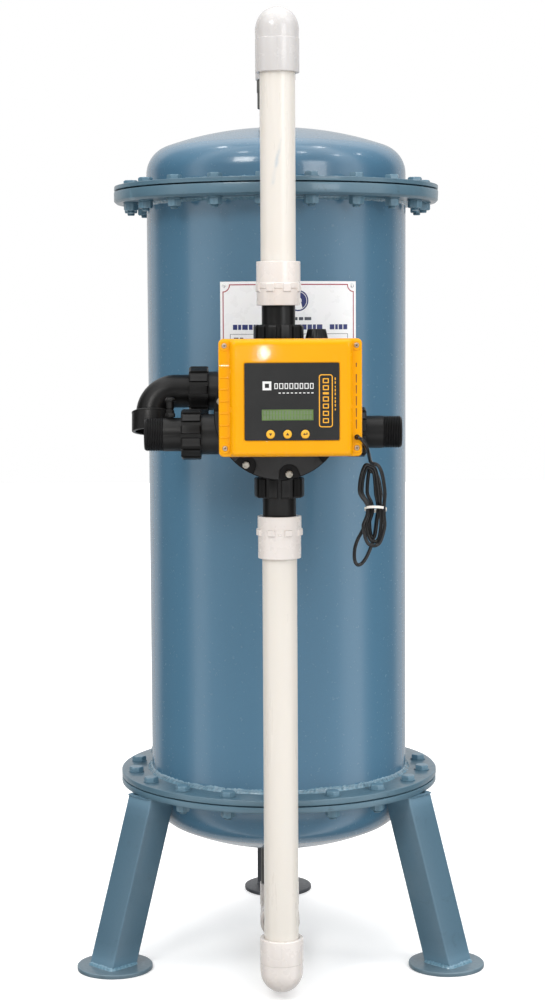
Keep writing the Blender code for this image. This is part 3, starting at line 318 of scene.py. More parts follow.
def circuit(name):
    mat = Mat(name)
    weave = mat.noise(scale=600.0, detail=2.0)
    tracks = mat.ramp(mat.voronoi(scale=160.0, feature="DISTANCE_TO_EDGE"),
                      [(0.03, 1.0), (0.06, 0.0)])
    return mat.finish(Base_Color=mat.mix(tracks, (0.012, 0.11, 0.035), (0.05, 0.26, 0.09)),
                      Roughness=mat.ramp(weave, [(0.3, 0.35), (0.7, 0.5)]), Coat_Weight=0.4,
                      Normal=mat.bump(tracks, strength=0.2, distance=0.0001))


MATERIALS = {
    "enamel": enamel("blue_enamel_body", deep=(0.0682, 0.1706, 0.2660),
                     pale=(0.0812, 0.1906, 0.2929), rough=0.24),
    "enamel_edge": enamel("blue_enamel_flange", deep=(0.0534, 0.1179, 0.1663),
                          pale=(0.0732, 0.1465, 0.1954), blots=0.75, rough=0.36, coat=0.35,
                          peel=0.35),
    "weld": enamel("blue_enamel_weld", deep=(0.0666, 0.1517, 0.2146),
                   pale=(0.0962, 0.1924, 0.2553), blots=0.5, rough=0.26, coat=0.6, peel=0.8),
    "leg": enamel("blue_enamel_leg", deep=(0.0620, 0.1270, 0.1800),
                  pale=(0.0780, 0.1560, 0.2160), blots=0.25, rough=0.36, coat=0.3, peel=0.2),
    "bolt": enamel("blue_enamel_bolt", deep=(0.0504, 0.1152, 0.1656),
                   pale=(0.0734, 0.1526, 0.2074), blots=0.5, rough=0.38, coat=0.3, peel=0.5),
    "foot": enamel("blue_enamel_foot", deep=(0.074, 0.122, 0.156), pale=(0.104, 0.164, 0.204),
                   blots=0.45, rough=0.42, coat=0.25, peel=0.7),
    # rear leg, its welds and rear foot: a darker paint with painted shade from the vessel above
    # laid into it
    "rear_dark_and_shade": enamel("dark_paint", deep=(0.040, 0.044, 0.052), pale=(0.058, 0.064, 0.074),
                   blots=0.35, rough=0.50, coat=0.1, peel=0.5),
    "upvc": upvc("upvc_pipe", warm=(0.735, 0.690, 0.630), cool=(0.745, 0.710, 0.655)),
    "upvc_mark": upvc("upvc_pipe_rubbed", warm=(0.745, 0.705, 0.650),
                      cool=(0.755, 0.725, 0.675), mark=True),
    "upvc_fit": upvc("upvc_fitting", warm=(0.74, 0.690, 0.655), cool=(0.76, 0.715, 0.685),
                     rough=0.26, wear=0.03),
    # the top elbows take a darker copy of the fitting plastic, painted shade that holds back the
    # light from above
    "upvc_top_shaded": upvc("upvc_top_elbow_painted_shade", warm=(0.600, 0.580, 0.572), cool=(0.620, 0.604, 0.598),
                     rough=0.24, wear=0.03),
    "grey": moulded("grey_fitting", base=(0.085, 0.085, 0.078), rough=0.5, edge=0.3),
    "black": moulded("black_plastic", base=(0.0050, 0.0049, 0.0049), rough=0.34, grain=700.0,
                     depth=0.22, spec=0.27),
    "black_thread": moulded("black_plastic_thread", base=(0.006, 0.006, 0.0065), rough=0.48,
                            edge=0.2, spec=0.3),
    "cover": moulded("grey_black_cover", base=(0.0085, 0.0085, 0.009), rough=0.46,
                     grain=1100.0, edge=0.7, spec=0.38),
    # the lower cover plate in the scallops: a darker copy of the cover plastic, painted shade
    "recess": moulded("cover_recess_painted_shade", base=(0.0035, 0.0035, 0.004), rough=0.6, edge=0.1,
                      spec=0.2),
    "cable": moulded("cable_sheath", base=(0.005, 0.005, 0.0055), rough=0.20, grain=300.0,
                     depth=0.05, edge=0.0, coat=0.2, spec=0.35),
    "yellow": painted_plastic("yellow_cover", base=(0.84, 0.362, 0.001),
                              shade=(0.86, 0.380, 0.002), coat=0.30, spec=0.05, lift=0.015,
                              coat_rough=0.045, bumps=0.015),
    "key": painted_plastic("yellow_key", base=(0.86, 0.44, 0.02), shade=(0.88, 0.48, 0.03),
                           rough=0.4, coat=0.1),
    "panel": moulded("panel_film", base=(0.0105, 0.0108, 0.011), rough=0.38, grain=1500.0,
                     depth=0.10, edge=0.0, coat=0.05, spec=0.36),
    "steel": metal("zinc_steel", base=(0.80, 0.78, 0.73), rough=0.45, dirt=0.2),
    "screw": metal("dull_screw", base=(0.62, 0.47, 0.33), rough=0.45, dirt=0.5),
    "bolt_zinc": metal("bolt_zinc", base=(0.46, 0.44, 0.39), rough=0.5, dirt=0.5),
    # dark orange pieces on the lid's right strip: painted shade in its slots
    "slot": printed("lid_slot_painted_shade", colour=(0.26, 0.085, 0.006), rough=0.7),
    "aluminium": metal("rivet_aluminium", base=(0.80, 0.80, 0.80), rough=0.3, dirt=0.2),
    "plate": painted_plastic("white_plate", base=(0.88, 0.88, 0.885), shade=(0.91, 0.91, 0.915),
                             rough=0.28, coat=0.4),
    "nylon": painted_plastic("tie_nylon", base=(0.80, 0.78, 0.72), shade=(0.84, 0.82, 0.77),
                             rough=0.4, coat=0.1),
    "maroon": printed("maroon_ink", colour=(0.36, 0.030, 0.055)),
    "navy": printed("navy_ink", colour=(0.020, 0.030, 0.150)),
    "ink": printed("grey_ink", colour=(0.055, 0.065, 0.085)),
    "white_ink": printed("white_ink", colour=(0.80, 0.80, 0.80)),
    "yellow_ink": printed("yellow_ink", colour=(0.90, 0.42, 0.02)),
    "dark_ink": printed("dark_ink", colour=(0.055, 0.022, 0.008)),
    "lcd": display("lcd_glass"),
    "hollow": printed("slot_shadow", colour=(0.012, 0.008, 0.004), rough=0.8),
    "rubber": moulded("gasket_rubber", base=(0.018, 0.018, 0.018), rough=0.8, edge=0.0),
    "painted_gasket": enamel("painted_gasket", deep=(0.040, 0.074, 0.100),
                             pale=(0.058, 0.112, 0.152), blots=0.6, rough=0.6, coat=0.0,
                             peel=0.8),
    "acetal": painted_plastic("acetal", base=(0.66, 0.64, 0.58), shade=(0.70, 0.68, 0.62),
                              rough=0.45, coat=0.0),
    "beads": beads("resin_beads"),
    "board": circuit("circuit_board"),
    "cell": painted_plastic("lcd_cell", base=(0.064, 0.124, 0.024), shade=(0.084, 0.156, 0.033),
                            rough=0.3, coat=0.5),
}


# =====================================================================
# mesh helpers; a "part" is (vertices, faces)
# =====================================================================
class Geo:
    """Vertices and faces gathered from parts, with a material index per face."""

    def __init__(self, part=None, matrix=None):
        self.verts, self.faces, self.slots = [], [], []
        if part:
            self.add(part, matrix=matrix)

    def add(self, part, slot=0, matrix=None):
        verts, faces = part
        start = len(self.verts)
        for vert in map(Vector, verts):
            self.verts.append(matrix @ vert if matrix is not None else vert)
        for face in faces:
            self.faces.append([start + i for i in face])
            self.slots.append(slot)


def clean_normals(mesh, merge=False):
    bm = bmesh.new()
    bm.from_mesh(mesh)
    if merge:
        bmesh.ops.remove_doubles(bm, verts=bm.verts, dist=1e-7)
    bmesh.ops.recalc_face_normals(bm, faces=bm.faces)
    bm.to_mesh(mesh)
    bm.free()


def piece(name, geo, mats, stands_for=None, body="vessel", angle=34.0, bevel=0.0):
    """Make the object; angle is the sharpest bend, in degrees, that is shaded smooth."""
    mesh = bpy.data.meshes.new(name)
    mesh.from_pydata([(v[0] * MM, (v[1] + VESSEL_Y) * MM, v[2] * MM) for v in geo.verts],
                     [], geo.faces)
    for mat in mats:
        mesh.materials.append(MATERIALS[mat])
    mesh.polygons.foreach_set("material_index", geo.slots)
    clean_normals(mesh, merge=True)
    obj = bpy.data.objects.new(name, mesh)
    bpy.context.scene.collection.objects.link(obj)
    if bevel:
        edges = obj.modifiers.new("edges", "BEVEL")
        edges.width, edges.segments, edges.limit_method = bevel * MM, 2, "ANGLE"
        edges.angle_limit = math.radians(40)
        edges.harden_normals = False
    mesh.shade_smooth()
    mesh.set_sharp_from_angle(angle=math.radians(angle))
    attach(obj, body)
    if stands_for:
        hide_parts(stands_for)
    return obj


def pose(centre, direction):
    """A matrix that puts local +Z along direction at centre."""
    ahead = Vector(direction).normalized()
    side = Vector((1, 0, 0)) if abs(ahead.x) < 0.9 else Vector((0, 1, 0))
    side = (side - ahead * side.dot(ahead)).normalized()
    other = ahead.cross(side)
    matrix = Matrix.Identity(4)
    for i in range(3):
        matrix[i][0], matrix[i][1], matrix[i][2] = side[i], other[i], ahead[i]
        matrix[i][3] = centre[i]
    return matrix


def around(azimuth, radius, z=0.0):
    angle = math.radians(azimuth)
    return Vector((radius * math.sin(angle), -radius * math.cos(angle), z))


def softened(rows, steps=3, closed=True):
    """Round the corners of a line given as rows of (radius, height, corner rounding)."""
    out, count = [], len(rows)
    for i, row in enumerate(rows):
        if row[2] <= 0 or (not closed and i in (0, count - 1)):
            out.append(row[:2])
            continue
        corner = Vector(row[:2])
        back = Vector(rows[i - 1][:2]) - corner
        ahead = Vector(rows[(i + 1) % count][:2]) - corner
        turn = back.angle(ahead)
        if turn > math.radians(178):
            out.append(row[:2])
            continue
        reach = min(row[2] / math.tan(turn / 2), back.length * 0.48, ahead.length * 0.48)
        start, end = corner + back.normalized() * reach, corner + ahead.normalized() * reach
        for k in range(steps + 1):
            t = k / steps
            out.append(tuple(start * (1 - t) ** 2 + corner * 2 * t * (1 - t) + end * t ** 2))
    return out


def join(rings, closed=False):
    """Quads between neighbouring rings of vertex numbers; a ring of one is a pole."""
    faces = []
    pairs = list(zip(rings, rings[1:]))
    if closed:
        pairs.append((rings[-1], rings[0]))
    for near, far in pairs:
        count = max(len(near), len(far))
        for k in range(count):
            j = (k + 1) % count
            if len(near) == 1:
                faces.append((near[0], far[j], far[k]))
            elif len(far) == 1:
                faces.append((near[k], near[j], far[0]))
            else:
                faces.append((near[k], near[j], far[j], far[k]))
    return faces


def loft(loops, cap=True, closed=False):
    """Closed loops of equal length joined with quads, with flat ends if capped."""
    count = len(loops[0])
    verts = [vert for loop in loops for vert in loop]
    rings = [range(i * count, (i + 1) * count) for i in range(len(loops))]
    faces = join(rings, closed)
    if cap:
        faces.append(tuple(reversed(rings[0])))
        faces.append(tuple(rings[-1]))
    return verts, faces


def wrapped(loops):
    """A loft whose last loop meets its first."""
    return loft(loops + [loops[0]], cap=False)


def bead(loops):
    """A closed ring of weld sections."""
    verts, faces = loft(loops, cap=False, closed=True)
    return verts, [face[:1] + face[:0:-1] for face in faces]


def circle(radius, count):
    for k in range(count):
        angle = 2 * math.pi * k / count
        yield radius * math.cos(angle), radius * math.sin(angle)


def lathe(profile, segments=96, closed=True, reshape=None):
    """(radius, height) rows turned about local +Z; reshape(r, h, angle) gives a new radius."""
    verts, rings = [], []
    for r, h in profile:
        start = len(verts)
        if r < 1e-6:
            verts.append((0, 0, h))
        else:
            for k in range(segments):
                angle = 2 * math.pi * k / segments
                wide = reshape(r, h, angle) if reshape else r
                verts.append((wide * math.cos(angle), wide * math.sin(angle), h))
        rings.append(range(start, len(verts)))
    return verts, join(rings, closed)


def turned(rows, segments=96, steps=3, closed=True, reshape=None):
    """A lathe of rows of (radius, height, corner rounding)."""
    return lathe(softened(rows, steps, closed), segments, closed, reshape)


def band(outer, inner, start, end, soft=0.4, steps=2, segments=96):
    """A hollow cylinder. soft: one rounding, or outer end, outer start, inner start, inner end."""
    soft = soft if isinstance(soft, tuple) else (soft,) * 4
    return turned([(outer, end, soft[0]), (outer, start, soft[1]), (inner, start, soft[2]),
                   (inner, end, soft[3])], segments, steps)


def plug(radius, start, end, soft=(0, 0), steps=3, segments=48, reshape=None):
    """A solid cylinder; soft rounds its end and its start."""
    return turned([(0, end, 0), (radius, end, soft[0]), (radius, start, soft[1]),
                   (0, start, 0)], segments, steps, closed=False, reshape=reshape)


def ribbed(profile, angles, shape):
    """A lathe at chosen angles in degrees; shape(r, h, angle index) gives the radius."""
    loops = []
    for r, h in profile:
        loop = []
        for i, degrees in enumerate(angles):
            angle, wide = math.radians(degrees), shape(r, h, i)
            loop.append((wide * math.cos(angle), wide * math.sin(angle), h))
        loops.append(loop)
    return loft(loops, cap=False, closed=True)


def round_rect(x0, x1, z0, z1, radius, steps=5):
    radius = max(0.02, min(radius, (x1 - x0) / 2 - 0.01, (z1 - z0) / 2 - 0.01))
    left, right, low, high = x0 + radius, x1 - radius, z0 + radius, z1 - radius
    points = []
    for x, z, start in ((right, high, 0), (left, high, 90), (left, low, 180), (right, low, 270)):
        for k in range(steps + 1):
            angle = math.radians(start + 90 * k / steps)
            points.append((x + radius * math.cos(angle), z + radius * math.sin(angle)))
    return points


def rect_loop(x, z, y, radius, inset_x=0.0, inset_z=0.0, steps=6):
    outline = round_rect(x[0] + inset_x, x[1] - inset_x, z[0] + inset_z, z[1] - inset_z,
                         radius, steps)
    return [(px, y, pz) for px, pz in outline]


def rect_slab(x, z, radius, layers):
    """A rounded block through layers of (inset, y)."""
    return loft([rect_loop(x, z, y, radius - inset if radius > inset else 0.05, inset, inset, 3)
                 for inset, y in layers])


def extruded(outline, *depths):
    """An (x, z) outline drawn through the given y."""
    return loft([[(x, y, z) for x, z in outline] for y in depths])


def mitred(points, width):
    """Both sides of a closed flat line of the given width, point by point."""
    flat = [Vector(point) for point in points]
    for i, point in enumerate(flat):
        arriving = (point - flat[i - 1]).normalized()
        leaving = (flat[(i + 1) % len(flat)] - point).normalized()
        tangent = (arriving + leaving).normalized()
        side = Vector((-tangent.y, tangent.x)) * width / 2
        side /= math.cos(arriving.angle(leaving) / 2)
        yield point - side, point + side


def tube(points, radius, sides):
    points = [Vector(point) for point in points]
    tangent = (points[1] - points[0]).normalized()
    side = tangent.orthogonal().normalized()
    loops = []
    for i, point in enumerate(points):
        new = (points[min(i + 1, len(points) - 1)] - points[max(i - 1, 0)]).normalized()
        side = tangent.rotation_difference(new) @ side
        side = (side - new * side.dot(new)).normalized()
        tangent = new
        other = tangent.cross(side)
        loops.append([point + (side * across + other * along) * radius
                      for across, along in circle(1.0, sides)])
    return loft(loops)


def curve_points(points, per):
    """A Catmull-Rom curve through points, with per steps to each span."""
    points = [Vector(point) for point in points]
    out = []
    for i in range(len(points) - 1):
        before, start, end = points[max(i - 1, 0)], points[i], points[i + 1]
        after = points[min(i + 2, len(points) - 1)]
        for k in range(per):
            t = k / per
            out.append(0.5 * ((2 * start) + (end - before) * t
                              + (2 * before - 5 * start + 4 * end - after) * t ** 2
                              + (3 * start - before - 3 * end + after) * t ** 3))
    out.append(points[-1])
    return out


def hex_prism(across, low, high, chamfer_low, chamfer_high, turn):
    """A hexagon along local +Z with its corners taken off by a cone at its ends."""
    reach = across / math.sqrt(3)
    corners = [Vector((reach * math.cos(math.radians(60 * k + turn)),
                       reach * math.sin(math.radians(60 * k + turn)))) for k in range(6)]
    ring = [corners[i].lerp(corners[(i + 1) % 6], k / 4) for i in range(6) for k in range(4)]
    cone = across / 2 * 0.97

    def level(z, limit=across):
        return [(p.x * min(1, limit / p.length), p.y * min(1, limit / p.length), z)
                for p in ring]

    loops = [level(low, cone), level(low + chamfer_low)] if chamfer_low else [level(low)]
    return loft(loops + [level(high - chamfer_high), level(high, cone)])


def threaded(core, low, high, pitch, depth, bore, segments, chamfer, per):
    """A pipe end with a helical thread; per is the rows to each pitch."""
    rows = max(2, int((high - low) / pitch * per))
    verts = []
    for i in range(rows + 1):
        z = low + (high - low) * i / rows
        for k in range(segments):
            turn = k / segments
            tooth = 1 - abs(2 * ((z / pitch - turn) % 1.0) - 1)
            tooth = min(1.0, max(0.0, (tooth - 0.12) / 0.72))
            r = core - depth * (1 - tooth)
            edge = high - z
            if edge < chamfer:
                r = min(r, core - depth * 0.4 - (chamfer - edge) * 0.7)
            verts.append((r * math.cos(2 * math.pi * turn), r * math.sin(2 * math.pi * turn), z))
    for z in (low, high):
        verts += [(x, y, z) for x, y in circle(bore, segments)]
    rings = [range(i * segments, (i + 1) * segments) for i in range(rows + 3)]
    return verts, join([rings[-2]] + rings[:-2] + [rings[-1]], closed=True)


# =====================================================================
# vessel
# =====================================================================
SHELL_R, WALL, SKIRT = 194.0, 5.0, 18.0
NOZZLE_R, NOZZLE_BORE = 24.0, 19.0
TOP_DISH, BOTTOM_DISH = (500.0, 43.0), (392.0, 50.0)     # crown radius, knuckle radius
shell_low, shell_high = box_mm("shell")
# flange rings, each from low z to high z
TOP_SHELL_RING = (1127.0, shell_high.z)
TOP_HEAD_RING = (box_mm("top_head")[0].z, 1152.2)
LOW_SHELL_RING = (shell_low.z, 272.0)
LOW_HEAD_RING = (253.4, box_mm("bottom_head")[1].z)
TOP_RING_R, LOW_RING_R = shell_high.x, box_mm("bottom_head")[1].x
TOP_SKIRT_Z, LOW_SKIRT_Z = TOP_HEAD_RING[1] + SKIRT, LOW_HEAD_RING[0] - SKIRT


def wavy(flange, seed):
    """Hand-cut flange rings: the outer edge wanders a little."""
    wander = 0.5

    def reshape(r, h, angle):
        if r < flange - 8:
            return r
        spot = Vector((math.cos(angle) * 5, math.sin(angle) * 5, seed + h * 0.15))
        return r - wander + wander * noise.noise(spot)
    return reshape


def flanged_piece(name, part, node):
    """A vessel piece whose faces beyond the shell take the flange enamel."""
    obj = piece(name, Geo(part), ["enamel"], node, angle=30)
    obj.data.materials.append(MATERIALS["enamel_edge"])
    for polygon in obj.data.polygons:
        middle = polygon.center
        if math.hypot(middle.x, middle.y - VESSEL_Y * MM) > (SHELL_R + 2) * MM:
            polygon.material_index = 1


def dish(shape, shrink=0.0):
    """Line of a dished head: (radius, height above the skirt's end), top to rim."""
    crown_r, knuckle_r = shape
    knuckle, crown = knuckle_r - shrink, crown_r - shrink
    across = SHELL_R - knuckle_r
    rise = math.sqrt((crown_r - knuckle_r) ** 2 - across ** 2)
    tilt = math.atan2(rise, across)
    edge = crown * math.cos(tilt)
    out = []
    for i in range(31):
        r = NOZZLE_R + (edge - NOZZLE_R) * i / 30
        out.append((r, math.sqrt(crown ** 2 - r ** 2) - rise))
    for i in range(1, 15):
        angle = tilt * (1 - i / 14)
        out.append((across + knuckle * math.cos(angle), knuckle * math.sin(angle)))
    return out


def dished_head(name, node, flip, shape, skirt_z, ring, edge):
    """Nozzle, crown, knuckle, skirt and flange ring of one end; flip is 1 up or -1 down."""
    outer, inner = ([(r, skirt_z + flip * h) for r, h in dish(shape, shrink)]
                    for shrink in (0.0, WALL))
    away, joint = ring[::-flip]      # the ring's face away from the shell, and the joint
    neck = box_mm(node)[1 if flip > 0 else 0].z
    line = softened([(NOZZLE_BORE, neck, 0), (NOZZLE_R, neck, 0.6),
                     (NOZZLE_R, outer[0][1] + flip * 1.0, 0)], 2, closed=False)
    line += outer[1:]
    line += softened([(SHELL_R, away, 0), (edge - 0.5, away, 0.5), (edge, away - flip * 0.8, 0.8),
                      (edge, joint, 0.8), (SHELL_R - WALL, joint, 0)], 2, closed=False)
    line += inner[::-1] + [(NOZZLE_BORE, inner[0][1])]
    flanged_piece(name, lathe(line, 256, reshape=wavy(edge, 5.0 * flip)), node)


def weld_bead(path_radius, z, size, up, seed, rough):
    """A fillet weld in the corner between a wall and a ring."""
    segments = 420 if path_radius > 100 else 120
    # outward and upward reach, in bead sizes; the first and last corners are buried
    cross = [(-0.6, -0.6), (1.0, -0.6), (0.78, 0.12), (0.40, 0.46), (0.12, 0.78), (-0.6, 1.0)]
    loops = []
    for i in range(segments):
        angle = 2 * math.pi * i / segments
        x, y = math.cos(angle), math.sin(angle)
        ripple = 0.10 * math.sin(i * 2.3 + 3 * math.sin(i * 0.21))
        swell = noise.noise(Vector((x * 9, y * 9, seed))) * rough
        loop = []
        for j, (out, rise) in enumerate(cross):
            grit = noise.noise(Vector((x * 60, y * 60, seed + j * 3.1))) * rough * 0.9
            grow = 1 + swell + ripple + grit if 1 <= j <= 4 else 1.0
            r = path_radius + out * size * grow
            loop.append((r * x, r * y, z + up * rise * size * grow))
        loops.append(loop)
    return bead(loops)


# shell: the cylinder with a flange ring at either end
SHELL_PROFILE = [
    (TOP_RING_R, TOP_SHELL_RING[1], 1.2), (TOP_RING_R, TOP_SHELL_RING[0] + 3.4, 0.8),
    (TOP_RING_R - 3.6, TOP_SHELL_RING[0], 0.9), (SHELL_R, TOP_SHELL_RING[0], 1.0),
    (SHELL_R, LOW_SHELL_RING[1], 1.0), (LOW_RING_R - 0.8, LOW_SHELL_RING[1], 0.8),
    (LOW_RING_R, LOW_SHELL_RING[1] - 1.0, 0.8), (LOW_RING_R, LOW_SHELL_RING[0], 0.8),
    (SHELL_R - WALL, LOW_SHELL_RING[0], 0), (SHELL_R - WALL, TOP_SHELL_RING[1], 0)]
flanged_piece("vessel_shell",
              turned(SHELL_PROFILE, 288, steps=2, reshape=wavy(LOW_RING_R, 2.0)), "shell")
dished_head("vessel_top_head", "top_head", 1, TOP_DISH, TOP_SKIRT_Z, TOP_HEAD_RING, TOP_RING_R)
dished_head("vessel_bottom_head", "bottom_head", -1, BOTTOM_DISH, LOW_SKIRT_Z, LOW_HEAD_RING,
            LOW_RING_R)

# name, path radius, z, bead size, way up, roughness
WELDS = (
    ("weld_shell_top", SHELL_R, TOP_SHELL_RING[0], 5.2, -1, 0.32),
    ("weld_shell_bottom", SHELL_R, LOW_SHELL_RING[1], 7.0, 1, 0.40),
    ("weld_top_head", SHELL_R, TOP_HEAD_RING[1], 5.0, 1, 0.30),
    ("weld_bottom_head", SHELL_R, LOW_HEAD_RING[0], 5.0, -1, 0.30),
    ("weld_nozzle_top", NOZZLE_R, TOP_SKIRT_Z + dish(TOP_DISH)[0][1] - 0.4, 3.6, 1, 0.25),
    ("weld_nozzle_bottom", NOZZLE_R, LOW_SKIRT_Z - dish(BOTTOM_DISH)[0][1] + 0.4, 3.6, -1, 0.25))
for i, (name, r, z, size, up, rough) in enumerate(WELDS):
    piece(name, Geo(weld_bead(r, z, size, up, seed=i * 7.7, rough=rough)), ["weld"],
          angle=60)

# flange bolts: hexagon head and washer above, washer, nut and thread end below
BOLT_CIRCLE_R = 220.0
WASHER_R, WASHER_BORE, WASHER_T = 11.4, 5.5, 1.7
HEX_ACROSS, NUT_T, SHANK_R = 18.6, 10.2, 5.4
SEAT = 1.6      # a head or nut stands this far from the flange


def flange_bolt(low, high, top_face, bottom_face, seed):
    """A bolt from low to high, through flanges whose outer faces are given."""
    spin = seed * 37.0
    geo = Geo(band(WASHER_R, WASHER_BORE, top_face, top_face + WASHER_T, segments=32))
    geo.add(hex_prism(HEX_ACROSS, top_face + SEAT, high, 0.0, 1.5, spin))
    geo.add(band(WASHER_R, WASHER_BORE, bottom_face - WASHER_T, bottom_face, segments=32))
    nut_low = bottom_face - SEAT - NUT_T
    geo.add(hex_prism(HEX_ACROSS, nut_low, bottom_face - SEAT, 1.6, 0.8, spin * 1.7 + 20))
    thread_top = nut_low + 1.5
    # mirrored, so that the thread's chamfered end points down
    geo.add(threaded(5.9, low, thread_top, pitch=1.75, depth=0.9, bore=0.4, segments=20,
                     chamfer=1.2, per=5),
            matrix=Matrix.Translation((0, 0, low + thread_top)) @ Matrix.Scale(-1, 4, (0, 0, 1)))
    geo.add(plug(SHANK_R, nut_low + 1, top_face + 1, segments=16))
    return geo


def bolt_ring(prefix, node, count, offset, top_face, bottom_face):
    low, high = box_mm(node)
    for k in range(count):
        azimuth = offset + 360.0 / count * k
        geo = flange_bolt(low.z, high.z, top_face, bottom_face, k + 1)
        shift = (Matrix.Translation(around(azimuth, BOLT_CIRCLE_R))
                 @ Matrix.Rotation(math.radians(azimuth), 4, "Z"))
        geo.verts = [shift @ vert for vert in geo.verts]
        piece(f"{prefix}_{k + 1:02d}", geo, ["bolt"], node, angle=30)


bolt_ring("top_bolt", "top_flange_bolts", 20, -5.5, TOP_HEAD_RING[1], TOP_SHELL_RING[0])
bolt_ring("bottom_bolt", "bottom_flange_bolts", 18, 0.0, LOW_SHELL_RING[1], LOW_HEAD_RING[0])

# legs: square tube with rounded corners, a corner to the outside, leaning out to round feet
LEGS = {"front_left": -60.0, "front_right": 60.0, "rear": 180.0}     # azimuths
LEG_TOP_R, LEG_FOOT_R, FOOT_CENTRE_R = 218.0, 286.0, 283.0
FOOT_R, FOOT_T = 56.0, 6.0
LEG_SIDE, LEG_WALL, LEG_ROWS = 50.0, 4.0, 14
LEG_LOW, LEG_TOP = FOOT_T + 0.2, LOW_HEAD_RING[0] - 0.2
# end, z, way along the leg, bead size
LEG_WELDS = (("top", LEG_TOP - 0.6, -1, 3.2), ("foot", LEG_LOW + 0.4, 1, 3.6))
# outward and lengthwise reach, in bead sizes
LEG_WELD_CROSS = ((-0.7, -0.2), (1.0, -0.2), (0.62, 0.45), (0.15, 0.95), (-0.7, 0.95))


def leg_centre(azimuth, z):
    share = (LEG_TOP_R - LEG_FOOT_R) * (z - FOOT_T) / (LOW_HEAD_RING[0] - FOOT_T)
    return around(azimuth, LEG_FOOT_R + share, z)


def leg_square(azimuth, side, z, radius):
    c, s = math.cos(math.radians(45)), math.sin(math.radians(45))
    return [leg_centre(azimuth, z) + Vector((x * c - y * s, x * s + y * c, 0))
            for x, y in round_rect(-side / 2, side / 2, -side / 2, side / 2, radius)]


def leg_weld(azimuth, z, flip, size):
    loop = leg_square(azimuth, LEG_SIDE, z, 6.0)
    dense = []
    for start, end in zip(loop, loop[1:] + loop[:1]):
        count = max(1, int((end - start).length / 2.0))
        dense += [start.lerp(end, k / count) for k in range(count)]
    sections = []
    for i, point in enumerate(dense):
        out = point - leg_centre(azimuth, z)
        out.z = 0
        out.normalize()
        lump = 1 + 0.30 * noise.noise(point * 0.35) + 0.14 * math.sin(i * 2.1)
        sections.append([point + out * across * size * lump
                         + Vector((0, 0, flip * along * size * lump))
                         for across, along in LEG_WELD_CROSS])
    return bead(sections)


def uneven_rim(r, h, angle):
    spot = Vector((math.cos(angle) * 4, math.sin(angle) * 4, 1.0))
    return r * (1 - 0.006 * (1 + noise.noise(spot)))


for tag, azimuth in LEGS.items():
    rear = tag == "rear"
    heights = [LEG_LOW + (LEG_TOP - LEG_LOW) * k / LEG_ROWS for k in range(LEG_ROWS + 1)]
    outer = [leg_square(azimuth, LEG_SIDE, z, 2.4) for z in heights]
    inner = [leg_square(azimuth, LEG_SIDE - 2 * LEG_WALL, z, 3.0) for z in heights]
    # the rear leg, its welds and foot take the dark enamel, which also paints the shade under the
    # vessel
    piece("support_leg_" + tag, Geo(wrapped(outer + inner[::-1])), ["rear_dark_and_shade" if rear else "leg"],
          "leg_" + tag, angle=32)
    for where, z, flip, size in LEG_WELDS:
        at_foot = where == "foot"
        piece(f"leg_weld_{where}_{tag}", Geo(leg_weld(azimuth, z, flip, size)),
              ["rear_dark_and_shade" if rear else "weld" if at_foot else "leg"],
              angle=60)
    foot = plug(FOOT_R, 0.0, FOOT_T, soft=(1.8, 0.8), segments=96, reshape=uneven_rim)
    piece("foot_plate_" + tag, Geo(foot, Matrix.Translation(around(azimuth, FOOT_CENTRE_R))),
          ["rear_dark_and_shade" if rear else "foot"], "foot_" + tag, angle=40)

# =====================================================================
# rating plate: a curved sheet with riveted corners and printed marks
# =====================================================================
PLATE_R, PLATE_AZ, PLATE_Z = 195.4, (-24.7, 34.9), (858.2, 1007.8)
DEG_PER_MM = math.degrees(1 / PLATE_R)
INK = (PLATE_R + 0.28, PLATE_R + 0.42)            # inner and outer radius of the print
UPPER_INK = (INK[0] + 0.1, INK[1] + 0.08)         # print laid over print


def strip(az0, az1, z0, z1, radii=INK):
    """A thin curved rectangle between two azimuths."""
    count = max(1, int(abs(az1 - az0) / 1.2))
    loops = []
    for k in range(count + 1):
        azimuth = az0 + (az1 - az0) * k / count
        loops.append([around(azimuth, radii[0], z0), around(azimuth, radii[1], z0),
                      around(azimuth, radii[1], z1), around(azimuth, radii[0], z1)])
    return loft(loops)


def printed_line(points, width, radii=INK):
    """A closed line along (azimuth, z) points."""
    flat = [(azimuth / DEG_PER_MM, z) for azimuth, z in points]
    verts = [around(point.x * DEG_PER_MM, r, point.y)
             for sides in mitred(flat, width) for point in sides for r in radii]
    rings = [[4 * i + j for j in (0, 1, 3, 2)] for i in range(len(points))]
    return verts, join(rings, closed=True)


def emblem_circle(radius, step):
    return [(EMBLEM_AZ + radius * math.cos(math.radians(t)) * DEG_PER_MM,
             EMBLEM_Z + radius * math.sin(math.radians(t))) for t in range(0, 360, step)]


def disc(points, radii):
    return loft([[around(azimuth, r, z) for azimuth, z in points] for r in radii])


def plate_print(name, geo, mat):
    piece(name, geo, [mat], angle=50)


piece("plate_sheet", Geo(strip(*PLATE_AZ, *PLATE_Z, (PLATE_R - 0.5, PLATE_R + 0.3))), ["plate"],
      "rating_plate", angle=40, bevel=0.25)

